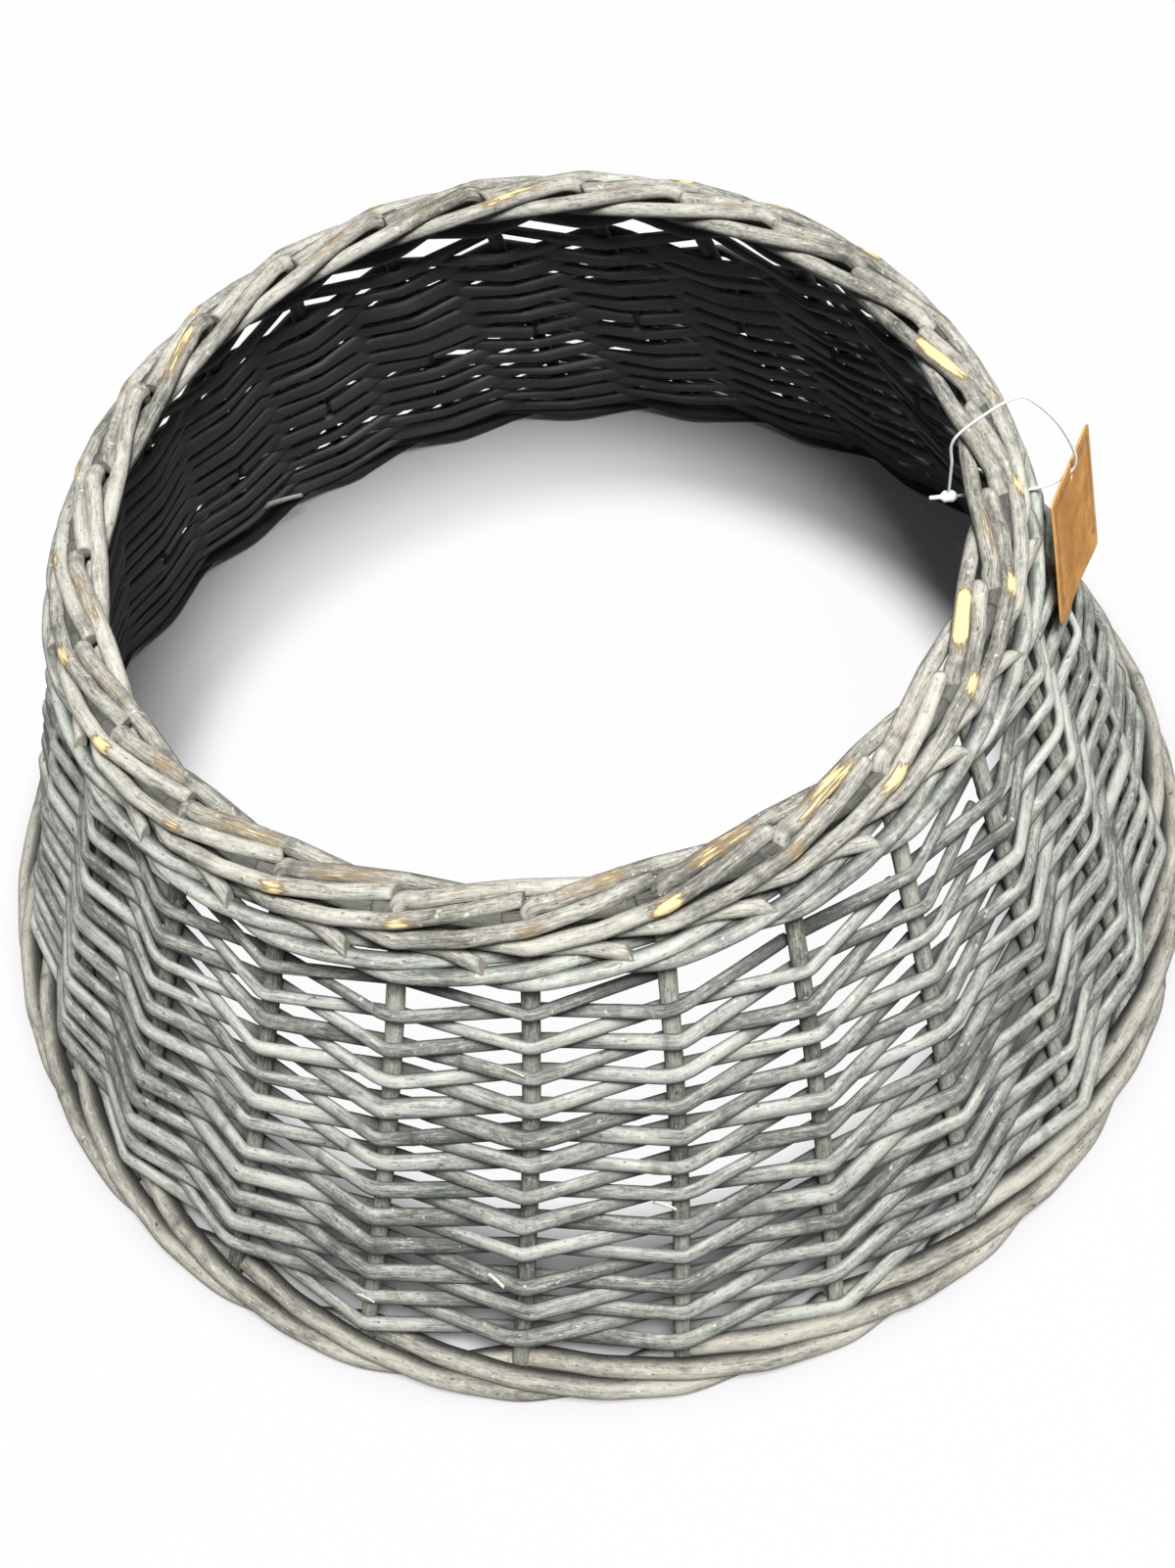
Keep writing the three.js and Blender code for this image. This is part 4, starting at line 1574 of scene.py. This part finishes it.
def through_places(places: Array, steps: int) -> Array:
    """A smooth curve through places, by the cubic with centred slopes between each two.

    Args:
        places: the places, in order.
        steps: points from one place to the next.

    Returns:
        The curve's points.
    """
    padded = np.concatenate([2 * places[:1] - places[1:2], places, 2 * places[-1:] - places[-2:-1]])
    a, b, c, d = padded[:-3], padded[1:-2], padded[2:-1], padded[3:]
    t = np.linspace(0.0, 1.0, steps, endpoint=False)[None, :, None]
    first = 0.5 * (c - a)[:, None]
    second = 0.5 * (2 * a - 5 * b + 4 * c - d)[:, None]
    third = 0.5 * (3 * b - 3 * c + d - a)[:, None]
    curve = b[:, None] + t * (first + t * (second + t * third))
    return np.concatenate([curve.reshape(-1, places.shape[1]), places[-1:]])


def turned_piece(route: Array, along: Array, facing: Array, radii: Array, sides: int) -> Surface:
    """A turned piece: circles of given radii about a straight axis, closed at both ends.

    Args:
        route: the circles' centres.
        along: the axis direction.
        facing: a direction square to it.
        radii: each circle's radius.
        sides: points on a circle.

    Returns:
        The closed surface.
    """
    turn = 2 * np.pi * np.arange(sides) / sides
    spoke = np.cos(turn)[:, None] * facing + np.sin(turn)[:, None] * np.cross(along, facing)
    points = route[:, None, :] + radii[:, None, None] * spoke
    quads, fans = tube_faces(len(radii), sides)
    return Surface(
        points=np.concatenate([points.reshape(-1, 3), route[[0, -1]]]),
        quads=quads,
        triangles=fans,
        quad_map=np.zeros((len(quads), 4, 2)),
        triangle_map=np.zeros((len(fans), 3, 2)),
    )


def rounded_rectangle(
    turn: Array, half_x: float, half_y: float, corner: float, rise: float
) -> Array:
    """Points of a rounded rectangle, each where a ray at its turn meets it.

    Args:
        turn: angles of the rays.
        half_x: half the width.
        half_y: half the height.
        corner: corner radius.
        rise: how far above the middle the rays start.

    Returns:
        The outline's points about the rectangle's middle.
    """
    ray = np.stack([np.cos(turn), np.sin(turn)], axis=1)
    with np.errstate(divide="ignore"):
        to_side = half_x / np.abs(ray[:, 0])
        room = np.where(ray[:, 1] > 0, half_y - rise, half_y + rise)
        to_end = room / np.abs(ray[:, 1])
    hit = ray * np.minimum(to_side, to_end)[:, None] + np.array([0.0, rise])
    inner = np.array([half_x - corner, half_y - corner])
    past = np.abs(hit) - inner
    in_corner = (past > 0).all(axis=1)
    eased = np.sign(hit) * (inner + corner * unit(np.maximum(past, 1e-9)))
    return np.where(in_corner[:, None], eased, hit)


def frame_line(x: Array, y: Array, half_x: float, half_y: float, half_line: float) -> Array:
    """The mark of a printed frame: 1 on a rectangle's outline, 0 more than half a line away."""
    off = np.maximum(np.abs(x) - half_x, np.abs(y) - half_y)
    return (np.abs(off) < half_line).astype(float)


def place(made: bpy.types.Object, body: str, slot: Slot, *nodes: str) -> None:
    """Gives a piece its body and hides the CAD nodes that it stands for.

    Args:
        made: the piece.
        body: the CAD body that it moves with.
        slot: the material slot; not used.
        nodes: the CAD nodes that it replaces, if any.
    """
    if nodes:
        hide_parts(*nodes)
    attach(made, body)
    LOG.info("%s: %d faces on %s", made.name, len(made.data.polygons), body)


# The studio


@dataclass
class Studio:
    """Pale floor, soft light and the camera at the photograph's angle."""

    floor_half: float = 4.0
    camera_back: float = 495.2 * MM
    camera_up: float = 814.1 * MM
    pitch: float = 1.006
    yaw: float = 0.006
    roll: float = 0.179
    focal_pixels: float = 1932.6
    picture_height: float = 1601.0
    sensor: float = 36.0
    sky: float = 0.13
    sky_colour: Colour = (0.97, 0.985, 1.0)
    key: float = 98.0
    lamp_size: float = 0.7
    lamp_place: tuple = (0.2, -0.66, 2.2)
    lamp_aim: tuple = (0.0, 0.0, 0.1)

    def floor(self) -> None:
        """A flat sheet under the collar, marked as stage."""
        half = self.floor_half
        mesh = bpy.data.meshes.new("studio_floor")
        corners = [(-half, -half, 0.0), (half, -half, 0.0), (half, half, 0.0), (-half, half, 0.0)]
        mesh.from_pydata(corners, [], [(0, 1, 2, 3)])
        mesh.materials.append(FloorFinish().material())
        made = bpy.data.objects.new("studio_floor", mesh)
        bpy.context.scene.collection.objects.link(made)

    def sky_light(self) -> None:
        """An even sky, seen white by the camera."""
        world = bpy.data.worlds.new("studio_sky")
        bpy.context.scene.world = world
        nodes = NodeMaker(world, "ShaderNodeOutputWorld")
        inputs = {"Color": self.sky_colour, "Strength": self.sky}
        lit = nodes.add("ShaderNodeBackground", {}, inputs)
        seen = nodes.add("ShaderNodeBackground", {}, {"Color": WHITE})
        inputs = {0: nodes.ray("Is Camera Ray"), 1: lit.outputs[0], 2: seen.outputs[0]}
        nodes.end("ShaderNodeMixShader", inputs)

    def lamp(self) -> None:
        """One broad soft lamp high above, in front of the collar's middle."""
        light = bpy.data.lights.new("key_lamp", "AREA")
        light.shape = "SQUARE"
        light.size = self.lamp_size
        light.energy = self.key
        made = bpy.data.objects.new("key_lamp", light)
        made.location = self.lamp_place
        direction = Vector(self.lamp_aim) - made.location
        made.rotation_euler = direction.to_track_quat("-Z", "Y").to_euler()
        bpy.context.scene.collection.objects.link(made)

    def camera(self) -> None:
        """The photograph's camera, from its fitted place, angles and focal length."""
        ahead = Vector((math.sin(self.yaw), math.cos(self.yaw), 0.0))
        level = Vector((math.cos(self.yaw), -math.sin(self.yaw), 0.0))
        forward = math.cos(self.pitch) * ahead - math.sin(self.pitch) * Vector((0.0, 0.0, 1.0))
        down = forward.cross(level)
        right = math.cos(self.roll) * level + math.sin(self.roll) * down
        below = -math.sin(self.roll) * level + math.cos(self.roll) * down
        data = bpy.data.cameras.new("camera")
        data.sensor_width = self.sensor
        data.lens = self.focal_pixels / self.picture_height * self.sensor
        made = bpy.data.objects.new("camera", data)
        turn = Matrix((right, -below, -forward)).transposed().to_4x4()
        made.matrix_world = Matrix.Translation((0.0, -self.camera_back, self.camera_up)) @ turn
        bpy.context.scene.collection.objects.link(made)
        bpy.context.scene.camera = made

    def build(self) -> None:
        """Sets the whole studio up."""
        self.camera()
        self.floor()
        self.sky_light()
        self.lamp()
        bpy.context.scene.view_settings.view_transform = "Standard"


def willow(name: str, pale: Colour, deep: Colour, inner: Colour) -> Material:
    """A willow material by its pale and deep colours, and the inner colour of its painted shade."""
    return WillowFinish(name, pale, deep, inner).material()


def main() -> None:
    """Builds the studio and every piece of the collar, in order."""
    logging.basicConfig(level=logging.INFO, format="%(message)s")
    Studio().build()
    form = CollarForm()
    # inner and core are colours of painted shade; core, the darker, is for the stakes and the base
    # rods
    inner, core = (0.045, 0.054, 0.050), (0.010, 0.012, 0.011)
    weaver_willow = willow("weaver_willow", (0.44, 0.455, 0.405), (0.078, 0.084, 0.074), inner)
    stake_willow = willow("stake_willow", (0.45, 0.44, 0.38), (0.08, 0.078, 0.066), core)
    base_willow = willow("base_willow", (0.43, 0.412, 0.352), (0.11, 0.103, 0.086), core)
    split_wood = willow("split_wood", (0.80, 0.78, 0.67), (0.55, 0.52, 0.42), inner)
    Weave(form, weaver_willow).build()
    Stakes(form, stake_willow).build()
    neck_wale(form, weaver_willow).build()
    base_wale(form, base_willow).build()
    BorderTips(form, stake_willow).build()
    LooseSplits(form, split_wood).build()
    Label(form, NylonFinish().material(), CardFinish().material()).build()


if __name__ == "__main__":
    main()
